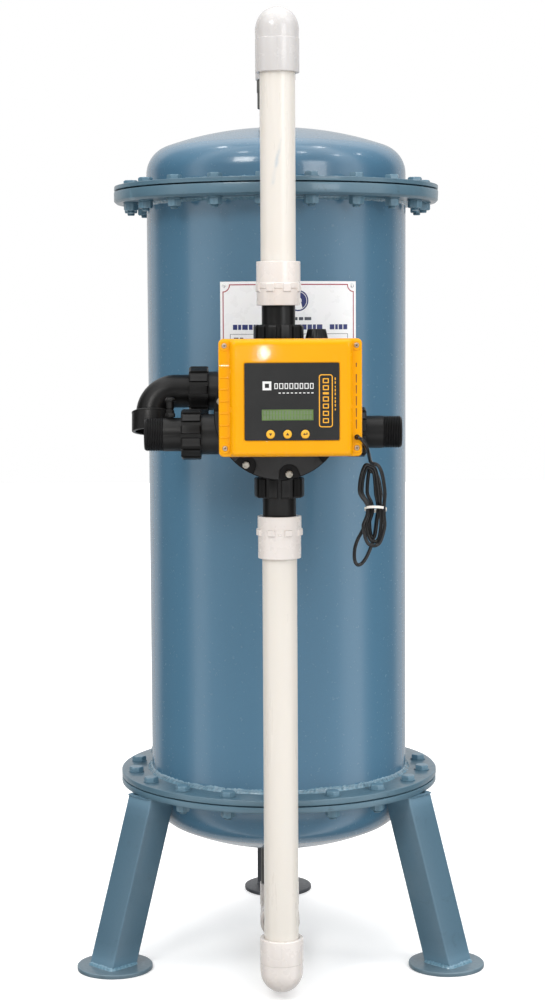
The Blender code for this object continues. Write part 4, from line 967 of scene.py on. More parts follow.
# border with hollow corners
INSET, HOLLOW_R = 4.6, 10.0
az_left, az_right = PLATE_AZ[0] + INSET * DEG_PER_MM, PLATE_AZ[1] - INSET * DEG_PER_MM
z_low, z_high = PLATE_Z[0] + INSET, PLATE_Z[1] - INSET
border = []
for azimuth, z, start in ((az_right, z_high, 270), (az_left, z_high, 360),
                          (az_left, z_low, 90), (az_right, z_low, 180)):
    for k in range(9):
        t = math.radians(start - 90 * k / 8)
        border.append((azimuth + HOLLOW_R * math.cos(t) * DEG_PER_MM,
                       z + HOLLOW_R * math.sin(t)))
dense = []
for (azimuth, z), (azimuth2, z2) in zip(border, border[1:] + border[:1]):
    count = max(1, int(abs(azimuth2 - azimuth) / 1.5))
    dense += [(azimuth + (azimuth2 - azimuth) * k / count, z + (z2 - z) * k / count)
              for k in range(count)]
plate_print("plate_border", Geo(printed_line(dense, 1.5)), "maroon")

# a round emblem: a plain disc, ring and dot
EMBLEM_AZ, EMBLEM_Z = 8.4, 980.5
plate_print("plate_emblem", Geo(disc(emblem_circle(15.0, 10), INK)), "navy")
marks = Geo(printed_line(emblem_circle(12.6, 10), 0.8, UPPER_INK))
marks.add(disc(emblem_circle(5.2, 15), UPPER_INK))
plate_print("plate_emblem_marks", marks, "white_ink")

# a short row of small bars; widths in mm are laid out at 0.62 degrees each
bars = Geo()
x = 0.5
for width in (4.2, 2.6, 3.8, 3.0, 4.6):
    bars.add(strip(x, x + width * 0.62, 952.8, 957.2))
    x += width * 0.62 + 0.55
plate_print("plate_small_bars", bars, "ink")

# a long row of bars in groups of eight, in degrees
BAR_WIDTHS = (1.9, 1.3, 2.4, 1.6, 2.1, 1.2, 1.8)
bars = Geo()
x, i = -19.0, 0
while x < 28.6:
    width = BAR_WIDTHS[i % 7]
    if i % 9 != 8:
        bars.add(strip(x, x + width, 939.6, 946.8))
    x += width + 0.42 + (0.9 if i % 9 == 7 else 0)
    i += 1
plate_print("plate_heading_bars", bars, "navy")

# a ruled table with short bars in its left column
TABLE_AZ, TABLE_SPLIT, TABLE_Z = (-20.2, 30.6), 4.6, (866.0, 933.4)
table = Geo()
for z in (TABLE_Z[0], 882.6, 899.4, 916.2, TABLE_Z[1]):
    table.add(strip(*TABLE_AZ, z - 0.3, z + 0.3))
for azimuth in (TABLE_AZ[0], TABLE_SPLIT, TABLE_AZ[1]):
    table.add(strip(azimuth - 0.1, azimuth + 0.1, *TABLE_Z))
for k, z in enumerate((926.6, 909.8, 893.0, 875.6)):
    x = TABLE_AZ[0] + 1.6
    for width in (2.0, 1.5, 2.6, 1.4)[: 2 + (k % 3)]:
        table.add(strip(x, x + width, z - 2.0, z + 2.0))
        x += width + 0.6
plate_print("plate_table", table, "ink")

RIVETS = ((-22.9, 863.5), (-22.9, 1002.4), (33.0, 863.5), (33.0, 1001.6))     # azimuth, z
RIVET_DOME = [(0, 1.9, 0), (2.2, 1.5, 0.8), (3.0, 0.4, 0.6), (3.0, -0.4, 0), (0, -0.4, 0)]
for i, (azimuth, z) in enumerate(RIVETS):
    spot = pose(around(azimuth, PLATE_R + 0.2, z), around(azimuth, 1.0))
    plate_print(f"plate_rivet_{i + 1}", Geo(turned(RIVET_DOME, 24, closed=False), spot),
                "aluminium")

# =====================================================================
# pipework
# =====================================================================
PIPE_R, PIPE_BORE, PIPE_Y = 24.15, 20.0, -285.0
TOP, LOW = 1346.0, 40.0                            # heights of the cross pipes
TOP_SOCKET, LOW_SOCKET = (59.0, 26.0), (48.5, 23.5)     # reach from the corner, depth
REAR_TOP_SOCKET = (36.0, 16.3)
PIPE_GAP = 0.3


def knee(corner, ways, reach, radius, voxel=1.15):
    """Two legs and a ball joined into one skin with a soft inner corner."""
    source = Geo()
    for way in ways:
        source.add(plug(radius, 0, reach, segments=64), matrix=pose(corner, way))
    ball = [(radius * math.sin(math.pi * k / 32), radius * math.cos(math.pi * k / 32))
            for k in range(33)]
    source.add(lathe(ball, 64, closed=False), matrix=Matrix.Translation(corner))
    mesh = bpy.data.meshes.new("knee_source")
    mesh.from_pydata([tuple(vert * MM) for vert in source.verts], [], source.faces)
    clean_normals(mesh)
    obj = bpy.data.objects.new("knee_source", mesh)
    bpy.context.scene.collection.objects.link(obj)
    skin = obj.modifiers.new("skin", "REMESH")
    skin.mode, skin.voxel_size = "VOXEL", voxel * MM
    even = obj.modifiers.new("even", "SMOOTH")
    even.factor, even.iterations = 0.5, 7
    bpy.context.view_layer.update()
    made = obj.evaluated_get(bpy.context.evaluated_depsgraph_get())
    out = made.to_mesh()
    part = ([tuple(vert.co / MM) for vert in out.vertices],
            [tuple(polygon.vertices) for polygon in out.polygons])
    made.to_mesh_clear()
    bpy.data.objects.remove(obj, do_unlink=True)
    bpy.data.meshes.remove(mesh)
    return part


def elbow(name, node, corner, ways, sockets, radius=30.0, mat="upvc_fit"):
    geo = Geo(knee(Vector(corner), ways, 22.0, radius - 0.55))
    for way, (end, depth) in zip(ways, sockets):
        placing = pose(corner, way)
        start = min(14.0, end - 18.0)
        # the thicker socket at the end of the leg
        geo.add(turned([(radius, end, 1.1), (radius, start, 0.5),
                        (radius - 0.75, start - 0.9, 0.2), (22.0, start - 0.9, 0),
                        (22.0, end - depth, 0), (24.6, end - depth, 0), (24.9, end, 0.6)]),
                matrix=placing)
        # the parting line, a low ridge along the socket in the plane of both legs
        for side in (-1, 1):
            ridge = [[(x, side * (radius + rise), z)
                      for x, rise in ((-0.55, -0.3), (-0.30, 0.22), (0.30, 0.22), (0.55, -0.3))]
                     for z in (start + 0.8, end - 1.2)]
            geo.add(loft(ridge), matrix=placing)
    piece(name, geo, [mat], node, angle=38)


# the top elbows use the darker copy of the fitting plastic, painted shade
elbow("elbow_top_front", "top_front_elbow", (0, PIPE_Y, TOP), (DOWN, BACK),
      (TOP_SOCKET, TOP_SOCKET), mat="upvc_top_shaded")
elbow("elbow_top_rear", "top_rear_elbow", (0, 0, TOP), (DOWN, FRONT),
      (REAR_TOP_SOCKET, TOP_SOCKET), mat="upvc_top_shaded")
elbow("elbow_bottom_front", "bottom_front_elbow", (0, PIPE_Y, LOW), (UP, BACK),
      (LOW_SOCKET, LOW_SOCKET), radius=30.4)
elbow("elbow_bottom_rear", "bottom_rear_elbow", (0, 0, LOW), (UP, FRONT),
      (LOW_SOCKET, LOW_SOCKET))


def pipe(name, node, centre, way, low, high, mat="upvc"):
    line = [(PIPE_R, high + (low - high) * k / 12) for k in range(13)]
    line += [(PIPE_BORE, low), (PIPE_BORE, high)]
    piece(name, Geo(lathe(line), pose(centre, way)), [mat], node)


RISER = (0, PIPE_Y, 0)
top_reach = TOP_SOCKET[0] - TOP_SOCKET[1] + PIPE_GAP
low_reach = LOW_SOCKET[0] - LOW_SOCKET[1] + PIPE_GAP
pipe("pipe_top_cross", "top_cross_pipe", (0, 0, TOP), FRONT, top_reach, -PIPE_Y - top_reach)
pipe("pipe_upper", "upper_pipe", RISER, UP, 1005.3, TOP - top_reach, "upvc_mark")
pipe("pipe_bottom_cross", "bottom_cross_pipe", (0, 0, LOW), FRONT, low_reach,
     -PIPE_Y - low_reach)
pipe("pipe_lower", "lower_pipe", RISER, UP, LOW + low_reach, 651.7)


def add_lugs(geo, low, high, outer, half):
    """Eight moulded grips round a fitting, low blocks with sloping sides."""
    for k in range(8):
        middle = 22.5 + 45.0 * k
        loops = []
        for r, spread, trim in ((29.5, half + 2.0, 0.0), (outer - 0.5, half + 0.4, 0.4),
                                (outer, half - 0.8, 1.0)):
            loops.append([around(middle + way * spread * (2 * i / 5 - 1), r, z)
                          for way, z in ((1, low + trim), (-1, high - trim)) for i in range(6)])
        geo.add(loft(loops), matrix=Matrix.Translation(RISER))


# fittings as rows of (radius, z, corner rounding)
ADAPTER_UPPER = [(30.3, 1033.0, 1.2), (30.3, 1004.0, 0.3), (30.9, 1003.2, 0.4),
                 (30.9, 996.5, 0.4), (30.0, 995.6, 0.4), (30.0, 973.0, 1.0), (23.4, 973.0, 0.8),
                 (23.4, 1004.8, 0), (24.6, 1004.8, 0), (24.9, 1033.0, 0.5)]
ADAPTER_LOWER = [(30.3, 684.0, 1.0), (30.3, 666.6, 0.3), (30.0, 665.6, 0.3), (29.8, 656.5, 0.3),
                 (29.8, 625.5, 1.2), (24.9, 625.5, 0.5), (24.6, 652.0, 0), (23.4, 656.0, 0),
                 (23.4, 684.0, 0.8)]
NUB = [(0, 1.3, 0), (1.5, 1.0, 0.5), (1.9, 0, 0.3), (1.9, -1, 0), (0, -1, 0)]
NOZZLE_TOP = [(23.9, 1325.6, 0.5), (23.9, 1309.9, 0.3), (28.0, 1309.5, 1.2), (28.0, 1292.0, 0.6),
              (27.2, 1291.0, 0.4), (27.2, 1268.0, 1.0), (24.5, 1268.0, 0.3), (24.5, 1285.3, 0),
              (19.0, 1285.3, 0), (19.0, 1325.6, 0.3)]
NOZZLE_BOTTOM = [(28.3, 146.0, 1.0), (28.3, 118.0, 0.4), (28.6, 117.0, 0.6), (28.6, 89.1, 1.2),
                 (23.9, 88.9, 0.3), (23.9, 65.4, 0.5), (19.0, 65.4, 0.3), (19.0, 118.2, 0),
                 (24.5, 118.2, 0), (24.5, 146.0, 0.3)]

geo = Geo(turned(ADAPTER_UPPER), Matrix.Translation(RISER))
add_lugs(geo, 991.5, 1003.0, outer=32.0, half=9.5)
piece("adapter_upper", geo, ["upvc_fit"], "upper_adapter", angle=38)
geo = Geo(turned(ADAPTER_LOWER), Matrix.Translation(RISER))
add_lugs(geo, 657.4, 666.2, outer=33.0, half=9.0)
geo.add(turned(NUB, 20, steps=2, closed=False), matrix=pose((0, PIPE_Y - 29.9, 659.5), FRONT))
piece("adapter_lower", geo, ["upvc_fit"], "lower_adapter", angle=38)
piece("nozzle_adapter_top", Geo(turned(NOZZLE_TOP)), ["grey"], "top_adapter",
      angle=38)
piece("nozzle_adapter_bottom", Geo(turned(NOZZLE_BOTTOM)), ["grey"],
      "bottom_adapter", angle=38)

# =====================================================================
# multiport valve
# =====================================================================
VALVE = (0, PIPE_Y, 826.0)
VALVE_Z = VALVE[2]
INLET, DRAIN, OUTLET = (0, -304.0, 798.0), (0, -236.0, 854.9), (0, -250.0, 797.2)
TAIL_BORE, FLANGE_R = 17.0, 27.8
NUT_R, NUT_GRIPS = 34.6, 12
# places across one grip, in pitches; the outer two at either end lie in the groove
GRIP_OFFSETS = (-0.42, -0.34, -0.30, -0.15, 0.0, 0.15, 0.30, 0.34, 0.42)


def union_nut(tag, centre, way, back, front, seat, phase=15):
    """A union nut: chamfered ends and broad flat grips with grooves between them."""
    pitch = 360.0 / NUT_GRIPS
    offsets = GRIP_OFFSETS * NUT_GRIPS
    angles = [phase + (i // len(GRIP_OFFSETS) + offset) * pitch
              for i, offset in enumerate(offsets)]
    flat = math.cos(math.radians(0.30 * pitch))

    def shape(r, h, i):
        if r < NUT_R - 4.5:
            return r
        if abs(offsets[i]) > 0.32:
            return min(r, NUT_R - 2.5)
        return r * flat / math.cos(math.radians(offsets[i] * pitch))

    line = softened([(NUT_R - 2.4, front, 0.6), (NUT_R, front - 2.6, 0.9),
                     (NUT_R, back + 1.4, 0.5), (NUT_R - 1.2, back, 0.4), (28.7, back, 0.6),
                     (28.7, seat, 0), (23.4, seat, 0), (23.4, front, 0.6)], 2)
    piece("nut_" + tag, Geo(ribbed(line, angles, shape), pose(centre, way)), ["black"],
          tag + "_union_nut", angle=24)


def tail(tag, centre, way, seat, end, radius, thread_from):
    """A flanged pipe end held by a union nut, threaded from thread_from if given."""
    stop = thread_from or end
    placing = pose(centre, way)
    geo = Geo(turned([(radius, stop, 0.6 if thread_from else 1.2), (radius, seat + 5.2, 0.8),
                      (FLANGE_R, seat + 5.0, 0.6), (FLANGE_R, seat + 0.2, 0.3),
                      (TAIL_BORE, seat + 0.2, 0.3), (TAIL_BORE, stop, 0.5)]), placing)
    if thread_from:
        geo.add(threaded(radius - 0.15, thread_from - 1.0, end, pitch=2.309, depth=1.25,
                         bore=17.2, segments=72, chamfer=2.6, per=8), slot=1, matrix=placing)
    piece("tail_" + tag, geo, ["black", "black_thread"], tag + "_tail",
          angle=30)


# tag, centre, way, tail (seat, end, radius, thread start), nut (back, front, seat)
UNIONS = (
    ("top", RISER, UP, (934.5, 1000.7, 23.0, None), (918.7, 946.7, 940.0)),
    ("bottom", RISER, DOWN, (-721.6, -656.3, 23.0, None), (-736.8, -709.8, -716.0)),
    ("inlet", INLET, LEFT, (121.3, 184.0, 22.9, 158.0), (106.5, 133.6, 127.0)),
    ("outlet", OUTLET, RIGHT, (108.8, 171.0, 22.6, 144.8), (95.2, 121.4, 114.4)))
for tag, centre, way, tail_sizes, nut_sizes in UNIONS:
    tail(tag, centre, way, *tail_sizes)
    union_nut(tag, centre, way, *nut_sizes)
union_nut("drain", DRAIN, LEFT, 98.0, 124.6, 117.8, phase=5)

# drain bend: flange under the nut, smooth sweep, and a socket collar that leans forward
LEAN = math.radians(14)
BEND_R, BEND_TUBE_R, BEND_STEPS = 32.0, 23.0, 32
STUB_X, STUB_LENGTH = -112.4, 31.2
BEND_SOCKET = [(29.2, 25.5, 1.2), (29.2, -1.4, 1.0), (26.5, -3.6, 1.4), (20.0, -3.6, 0),
               (20.0, 6.0, 0), (23.6, 6.2, 0), (23.9, 25.5, 0.7)]
down = Vector((0, -math.sin(LEAN), -math.cos(LEAN)))
bend_start = Vector((STUB_X - STUB_LENGTH, DRAIN[1], DRAIN[2]))


def sweep(lift=0.0):
    """The bend's centre line, or a line lifted off it to the outside."""
    out = []
    for i in range(BEND_STEPS + 1):
        angle = math.radians(90 * i / BEND_STEPS)
        out.append(bend_start + Vector(LEFT) * (BEND_R + lift) * math.sin(angle)
                   + down * (BEND_R - (BEND_R + lift) * math.cos(angle)))
    return out


path = [Vector((STUB_X - STUB_LENGTH * k / 8, DRAIN[1], DRAIN[2])) for k in range(8)] + sweep()
mouth = path[-1]
geo = Geo(tube(path + [mouth + down * 6], BEND_TUBE_R, 72))
geo.add(band(FLANGE_R, TAIL_BORE, 112.2, 117.0, soft=0.6, segments=72), matrix=pose(DRAIN, LEFT))
geo.add(turned(BEND_SOCKET), matrix=pose(mouth, down))
geo.add(band(29.5, 28.0, -2.2, -0.2), matrix=pose(mouth, down))
# parting line round the outside of the bend
geo.add(tube(sweep(lift=BEND_TUBE_R - 0.1), 0.45, 8))
piece("drain_bend", geo, ["black"], "drain_elbow", angle=40)

# brine connector: hexagon foot, waist and ferruled top
BRINE_X = -148.7
BRINE_PROFILE = [(0, 848.6, 0), (4.9, 848.6, 0.6), (5.9, 847.0, 0.3), (6.9, 846.2, 0.5),
                 (6.9, 843.4, 0.5), (5.6, 842.6, 0.4), (5.4, 834.0, 0.4), (4.6, 833.4, 0.3),
                 (4.6, 831.6, 0.3), (5.5, 831.0, 0.3), (5.5, 826.6, 0.2), (3.3, 822.0, 0.2),
                 (3.3, 816.7, 0.2), (0, 816.7, 0)]
placing = Matrix.Translation((BRINE_X, INLET[1], 0))
geo = Geo(hex_prism(12.0, 821.4, 827.2, 0.6, 0.6, 15), placing)
geo.add(turned(BRINE_PROFILE, 48, steps=2, closed=False), matrix=placing)
piece("brine_fitting", geo, ["black"], "brine_connector", angle=30)

# injector cap: tapered, ribbed, with a driver slot in its crown
INJECTOR_X = 52.2
CAP_PROFILE = [(10.5, 940.7, 0), (12.6, 940.7, 1.2), (15.6, 928.0, 0.8), (15.6, 912.3, 0.6),
               (10.9, 912.3, 0.4), (10.9, 934.8, 0)]
RIBS = 18
RIB_OFFSETS = (-0.40, -0.22, 0.0, 0.22, 0.40)      # in pitches; the ends lie in the groove


def cap_shape(r, h, i):
    groove = abs(RIB_OFFSETS[i % len(RIB_OFFSETS)]) > 0.3
    return r - 0.75 if r > 12.3 and groove and h < 939.5 else r


placing = Matrix.Translation((INJECTOR_X, PIPE_Y, 0))
angles = [(k + offset) * 360.0 / RIBS for k in range(RIBS) for offset in RIB_OFFSETS]
geo = Geo(ribbed(softened(CAP_PROFILE), angles, cap_shape), placing)
geo.add(plug(10.9, 934.9, 938.2, soft=(0.2, 0.2), steps=1), matrix=placing)
for side in (-1, 1):      # the two half moons that leave a slot between them
    half = []
    for k in range(25):
        angle = math.radians(-72 + 144 * k / 24) + side * math.pi / 2
        half.append((10.7 * math.cos(angle), 10.7 * math.sin(angle)))
    geo.add(loft([[(x, y, z) for x, y in half] for z in (938.0, 940.1)]
                 + [[(x * 0.97, y * 0.97 + side * 0.1, 940.6) for x, y in half]]),
            matrix=placing)
piece("injector_cap_ribbed", geo, ["black"], "injector_cap",
      body="injector_cap", angle=26)

# valve body: drum, front flange, rear drum and core, then ports, injector stem and collars;
# lengths along the drum are from the vessel's axis forwards
front = pose((0, 0, VALVE_Z), FRONT)
injector = pose((INJECTOR_X, PIPE_Y, VALVE_Z), UP)
BODY_FLANGE = [(88.3, 334.0, 0.8), (88.3, 322.2, 2.0), (74.0, 322.2, 0), (64.2, 334.0, 0.4)]
# centre, way, start, end, radius
PORTS = ((VALVE, UP, 60, 934.2 - VALVE_Z, 27.8), (VALVE, DOWN, 60, VALVE_Z - 721.9, 27.8),
         (INLET, LEFT, 60, 121.0, 27.6), (OUTLET, RIGHT, 40, 108.5, 27.2),
         (DRAIN, LEFT, 35, 111.7, 27.2))
geo = Geo(band(76.0, 64.0, 258.0, 334.0, soft=(0, 3.0, 0, 0), steps=4, segments=128), front)
geo.add(turned(BODY_FLANGE, 160), matrix=front)
geo.add(plug(55.8, 207.2, 262.0, soft=(0, 4.0), steps=4, segments=112), matrix=front)
geo.add(plug(66.0, 260.0, 290.0, segments=64), matrix=front)
for centre, way, start, end, radius in PORTS:
    geo.add(band(radius, TAIL_BORE, start, end, soft=(0.8, 0, 0, 0.5), steps=3),
            matrix=pose(centre, way))
geo.add(plug(14.0, 40, 85.5, soft=(1.0, 0)), matrix=injector)
geo.add(plug(9.8, 84, 107.8, soft=(0.8, 0), steps=2), matrix=injector)
for way, end in ((UP, 84.0), (DOWN, 82.0)):
    geo.add(band(30.6, 20, 70.0, end, soft=(1.5, 0.5, 0, 0), steps=3), matrix=pose(VALVE, way))
piece("valve_casting", geo, ["black"], "valve_body", angle=34)

# front cover: a plate whose raised face is scalloped round each bolt; the lower plate seen in the
# scallops is painted darker as shade
BOLT_ANGLES = (9.0, 52.0, 95.0, 138.0, 180.0, -146.0, -103.0, -34.0)     # from straight down
COVER_BOLT_R = 81.5
# face radius, scallop radius, y
COVER_LAYERS = ((87.0, 13.8, -341.5), (87.0, 13.8, -345.2), (86.5, 14.2, -345.8),
                (85.8, 14.8, -346.0))


def scallop(radius, notch):
    points = []
    for i in range(720):
        degrees = 360.0 * i / 720
        r = radius
        for bolt in BOLT_ANGLES:
            delta = math.radians((degrees - bolt + 180) % 360 - 180)
            offset = COVER_BOLT_R * math.sin(delta)
            if abs(delta) < math.pi / 2 and abs(offset) < notch:
                r = min(r, COVER_BOLT_R * math.cos(delta) - math.sqrt(notch ** 2 - offset ** 2))
        angle = math.radians(degrees)
        points.append((r * math.sin(angle), VALVE_Z - r * math.cos(angle)))
    return points


geo = Geo(band(88.4, 6.5, 335.3, 343.0, soft=(1.6, 0.6, 0, 0), steps=3, segments=180), front)
geo.add(loft([[(x, y, z) for x, z in scallop(radius, notch)]
              for radius, notch, y in COVER_LAYERS]), slot=1)
geo.add(band(30.0, 6.5, 345.0, 351.7, soft=(1.5, 0, 0, 0.5), steps=3), slot=1, matrix=front)
piece("valve_cover_plate", geo, ["recess", "cover"], "valve_cover", angle=30)

BOLT_RIM = [(2.6, 349.5, 0.15), (3.3, 349.1, 0.15), (3.3, 348.6, 0.15), (1.8, 348.6, 0.15),
            (1.8, 349.0, 0.15)]
for i, degrees in enumerate(BOLT_ANGLES):
    angle = math.radians(degrees)
    spot = pose((COVER_BOLT_R * math.sin(angle), 0, VALVE_Z - COVER_BOLT_R * math.cos(angle)),
                FRONT)
    geo = Geo(band(5.0, 3.0, 342.7, 344.2, segments=40), spot)
    geo.add(hex_prism(8.6, 344.1, 349.2, 0.2, 0.9, 25 + 41 * i), matrix=spot)
    geo.add(turned(BOLT_RIM, 32, steps=2), matrix=spot)
    geo.add(plug(3.0, 317.2, 345.0, segments=24), matrix=spot)
    piece(f"cover_bolt_{i + 1}", geo, ["bolt_zinc"], "cover_bolts", angle=36)

# =====================================================================
# controller; x and z ranges of its rounded rectangles
# =====================================================================
CASE_X, CASE_Z, CASE_CORNER = (-81.0, 109.5), (772.0, 928.5), 6.5
HUMP_X, HUMP_Z = (-66.0, 96.6), (CASE_Z[0] + 0.7, CASE_Z[1] - 0.7)
FILM_X, FILM_Z = (-46.4, 78.5), (794.8, 896.8)
GLASS_X, GLASS_Z = (-23.9, 44.5), (821.0, 835.6)
SCREWS = ((-73.0, 919.5), (101.9, 919.5), (-72.6, 783.6), (102.2, 783.6))
KEYS = {"down": -12.4, "up": 10.1, "enter": 33.5}      # x of each key
KEY_Z, KEY_R = 802.8, 5.8
CABLE_X, CABLE_Z = 102.5, 797.8


def case_loops(stations):
    """The case's outline at stations of (inset, y)."""
    return [rect_loop(CASE_X, CASE_Z, y, max(0.4, CASE_CORNER - inset), inset, inset)
            for inset, y in stations]


def hump_loops(stations):
    """The raised middle's outline at stations of (inset in x, inset in z, y, corner)."""
    return [rect_loop(HUMP_X, HUMP_Z, y, corner, inset_x, inset_z)
            for inset_x, inset_z, y, corner in stations]


# tray: outer wall with a soft shoulder, then its inner wall, as (inset, y)
LID_WALL = ((0.0, -367.2), (0.0, -383.6), (0.35, -385.8), (1.2, -387.3), (2.6, -388.0),
            (18.0, -388.0), (18.0, -386.2), (3.0, -385.0), (3.0, -367.2))
# raised middle, with sloping sides and a rounded rim: (inset x, inset z, y, corner)
HUMP_OUTSIDE = ((-1.6, 0.2, -386.4, 5.0), (-0.2, 0.2, -388.3, 5.0), (0.6, 0.3, -391.0, 5.0),
                (1.8, 1.0, -395.4, 5.0), (3.0, 2.4, -398.2, 5.0), (4.6, 4.2, -399.6, 5.0),
                (7.0, 6.8, -400.0, 4.5), (7.9, 7.7, -400.0, 4.5))
HUMP_INSIDE = ((7.0, 6.8, -397.2, 4.5), (3.6, 4.2, -393.0, 5.0), (1.4, 3.0, -386.4, 5.0))
# recess and opening for the film: (inset, y)
LID_WINDOW = ((-2.4, -400.0), (-1.4, -400.0), (-0.7, -399.8), (-0.5, -399.2), (4.0, -399.1),
              (4.0, -397.4))
LID_STEPS_X, LID_STEPS_Z = (-79.6, -67.6), (893.3, 877.4, 862.0, 846.2, 830.1, 814.2, 798.2)
SCREW_PAD = [(6.4, 389.0, 0.3), (6.9, 388.4, 0.4), (6.9, 386.6, 0), (3.7, 386.6, 0),
             (3.7, 389.0, 0.3)]
geo = Geo(wrapped(case_loops(LID_WALL)))
geo.add(wrapped(hump_loops(HUMP_OUTSIDE)
                + [rect_loop(FILM_X, FILM_Z, y, 2.2, inset, inset) for inset, y in LID_WINDOW]
                + hump_loops(HUMP_INSIDE)))
for z in LID_STEPS_Z:      # moulded steps down the left strip
    geo.add(rect_slab(LID_STEPS_X, (z - 1.0, z + 1.0), 0.9,
                      ((0.0, -387.2), (0.0, -388.45), (0.45, -388.9))))
for x, z in SCREWS:
    geo.add(turned(SCREW_PAD, 48), matrix=pose((x, 0, z), FRONT))
piece("controller_lid_yellow", geo, ["yellow"], "controller_lid", angle=30)

# dark pieces down the right strip that paint the shade in its slots, a little narrower at the foot
SLOT_SHADE_X, SLOT_SHADE_FOOT, SLOT_SHADE_HEAD = 101.7, 0.62, 0.95      # middle, half widths
SLOT_SHADES = ((896.4, 890.6), (881.4, 870.0), (866.8, 855.6), (852.2, 839.6), (836.2, 824.4),
          (821.2, 809.0))                                # top z, foot z
geo = Geo()
for top, foot in SLOT_SHADES:
    outline = [(-SLOT_SHADE_FOOT, foot + 0.4), (-SLOT_SHADE_FOOT + 0.3, foot), (SLOT_SHADE_FOOT - 0.3, foot),
               (SLOT_SHADE_FOOT, foot + 0.4), (SLOT_SHADE_HEAD, top - 0.5), (SLOT_SHADE_HEAD - 0.4, top),
               (-SLOT_SHADE_HEAD + 0.4, top), (-SLOT_SHADE_HEAD, top - 0.5)]
    geo.add(extruded([(SLOT_SHADE_X + x, z) for x, z in outline], -387.4, -388.10))
piece("lid_slot_shades", geo, ["slot"], angle=40)

# lid screws with a dark cross
SCREW_PROFILE = [(0, 390.35, 0), (2.3, 390.2, 0.8), (3.45, 389.4, 0.4), (3.45, 388.6, 0.3),
                 (1.6, 388.6, 0), (1.6, 358.6, 0), (0, 358.6, 0)]
CROSS_BAR = ((-1.7, -0.32), (1.7, -0.32), (1.7, 0.32), (-1.7, 0.32))
for i, (x, z) in enumerate(SCREWS):
    spot = pose((x, 0, z), FRONT)
    geo = Geo(turned(SCREW_PROFILE, 32, closed=False), spot)
    for turn in (0, 90):
        spin = Matrix.Rotation(math.radians(turn + 20 + 31 * i), 4, "Z")
        geo.add(loft([[spin @ Vector((*corner, height)) for corner in CROSS_BAR]
                      for height in (389.6, 390.5)]), slot=1, matrix=spot)
    piece(f"lid_screw_{i + 1}", geo, ["screw", "hollow"], "lid_screws", angle=36)

# front film with its window and key holes, lying in the lid's recess
FILM_BACK, FILM_FACE = -400.35, -401.15
KEY_HOLE_R = KEY_R + 0.35


def film():
    outlines = [round_rect(*FILM_X, *FILM_Z, 1.6, 4), round_rect(*GLASS_X, *GLASS_Z, 0.5, 2)]
    outlines += [[(x + across, KEY_Z + up) for across, up in circle(KEY_HOLE_R, 40)]
                 for x in KEYS.values()]
    bm = bmesh.new()
    for outline in outlines:
        ring = [bm.verts.new((x, 0, z)) for x, z in outline]
        for i, vert in enumerate(ring):
            bm.edges.new((vert, ring[(i + 1) % len(ring)]))
    bmesh.ops.triangle_fill(bm, use_beauty=True, use_dissolve=False, edges=bm.edges)
    bm.verts.index_update()
    flat = [tuple(vert.co) for vert in bm.verts]
    fill = [tuple(vert.index for vert in face.verts) for face in bm.faces]
    rim = [tuple(vert.index for vert in edge.verts) for edge in bm.edges
           if len(edge.link_faces) == 1]
    bm.free()
    count = len(flat)
    verts = [(x, y, z) for y in (FILM_BACK, FILM_FACE) for x, _, z in flat]
    faces = [tuple(reversed(face)) for face in fill]
    faces += [tuple(i + count for i in face) for face in fill]
    faces += [(start, end, end + count, start + count) for start, end in rim]
    return verts, faces


piece("panel_film", Geo(film()), ["panel"], "front_panel", angle=40)

# plain printed marks on the film
PRINT_Y = (-401.14, -401.28)


def add_box(geo, x0, x1, z0, z1, line):
    """A hollow rectangle of four printed bars."""
    low, high = z0 + line * 0.9, z1 - line * 0.9
    for bar in ((x0, x1, z1 - line, z1), (x0, x1, z0, z0 + line), (x0, x0 + line, low, high),
                (x1 - line, x1, low, high)):
        geo.add(extruded(round_rect(*bar, 0.2, 1), *PRINT_Y))


marks = Geo()
add_box(marks, -22.6, -11.0, 861.0, 872.6, 3.0)      # a square to the left of a row of boxes
x = -7.0
for width in (4.6, 5.4, 4.6, 5.0, 5.0, 4.6, 5.4, 4.8):
    add_box(marks, x, x + width, 862.6, 870.2, 1.05)
    x += width + 1.75
for k in range(9):
    marks.add(extruded(round_rect(-1.6 + 5.4 * k, 1.4 + 5.4 * k, 856.6, 857.9, 0.3, 2),
                       *PRINT_Y))
piece("panel_white_marks", marks, ["white_ink"], angle=50)

# a rounded column with boxes inside, and ticks to its right
COLUMN_BOXES = ((817.4, 823.8), (827.0, 833.4), (836.6, 843.0), (845.8, 852.4), (855.2, 858.0),
                (860.8, 867.2), (870.0, 876.4))
column = [[(left.x, PRINT_Y[0], left.y), (right.x, PRINT_Y[0], right.y),
           (right.x, PRINT_Y[1], right.y), (left.x, PRINT_Y[1], left.y)]
          for left, right in mitred(round_rect(52.3, 69.3, 812.4, 881.0, 3.0), 1.3)]
marks = Geo(loft(column, cap=False, closed=True))
for low, high in COLUMN_BOXES:
    add_box(marks, 56.8, 64.8, low, high, 1.35)
for k in range(9):
    low = 834.0 + k * 5.0
    marks.add(extruded(round_rect(72.6, 73.9, low, low + (3.4 if k % 3 else 2.4), 0.4, 2),
                       *PRINT_Y))
piece("panel_yellow_marks", marks, ["yellow_ink"], angle=50)

# display: bezel and glass set behind the film
geo = Geo(rect_slab((GLASS_X[0] - 4.6, GLASS_X[1] + 4.6), (GLASS_Z[0] - 5.6, GLASS_Z[1] + 5.6),
                    1.0, ((0.0, -387.2), (0.0, -395.9), (0.6, -396.5))))
geo.add(rect_slab((GLASS_X[0] - 0.2, GLASS_X[1] + 0.2), (GLASS_Z[0] - 0.2, GLASS_Z[1] + 0.2),
                  0.4, ((0.0, -396.0), (0.0, -399.2), (0.4, -399.6))), slot=1)
piece("display_unit", geo, ["hollow", "lcd"], "lcd_module", angle=40)

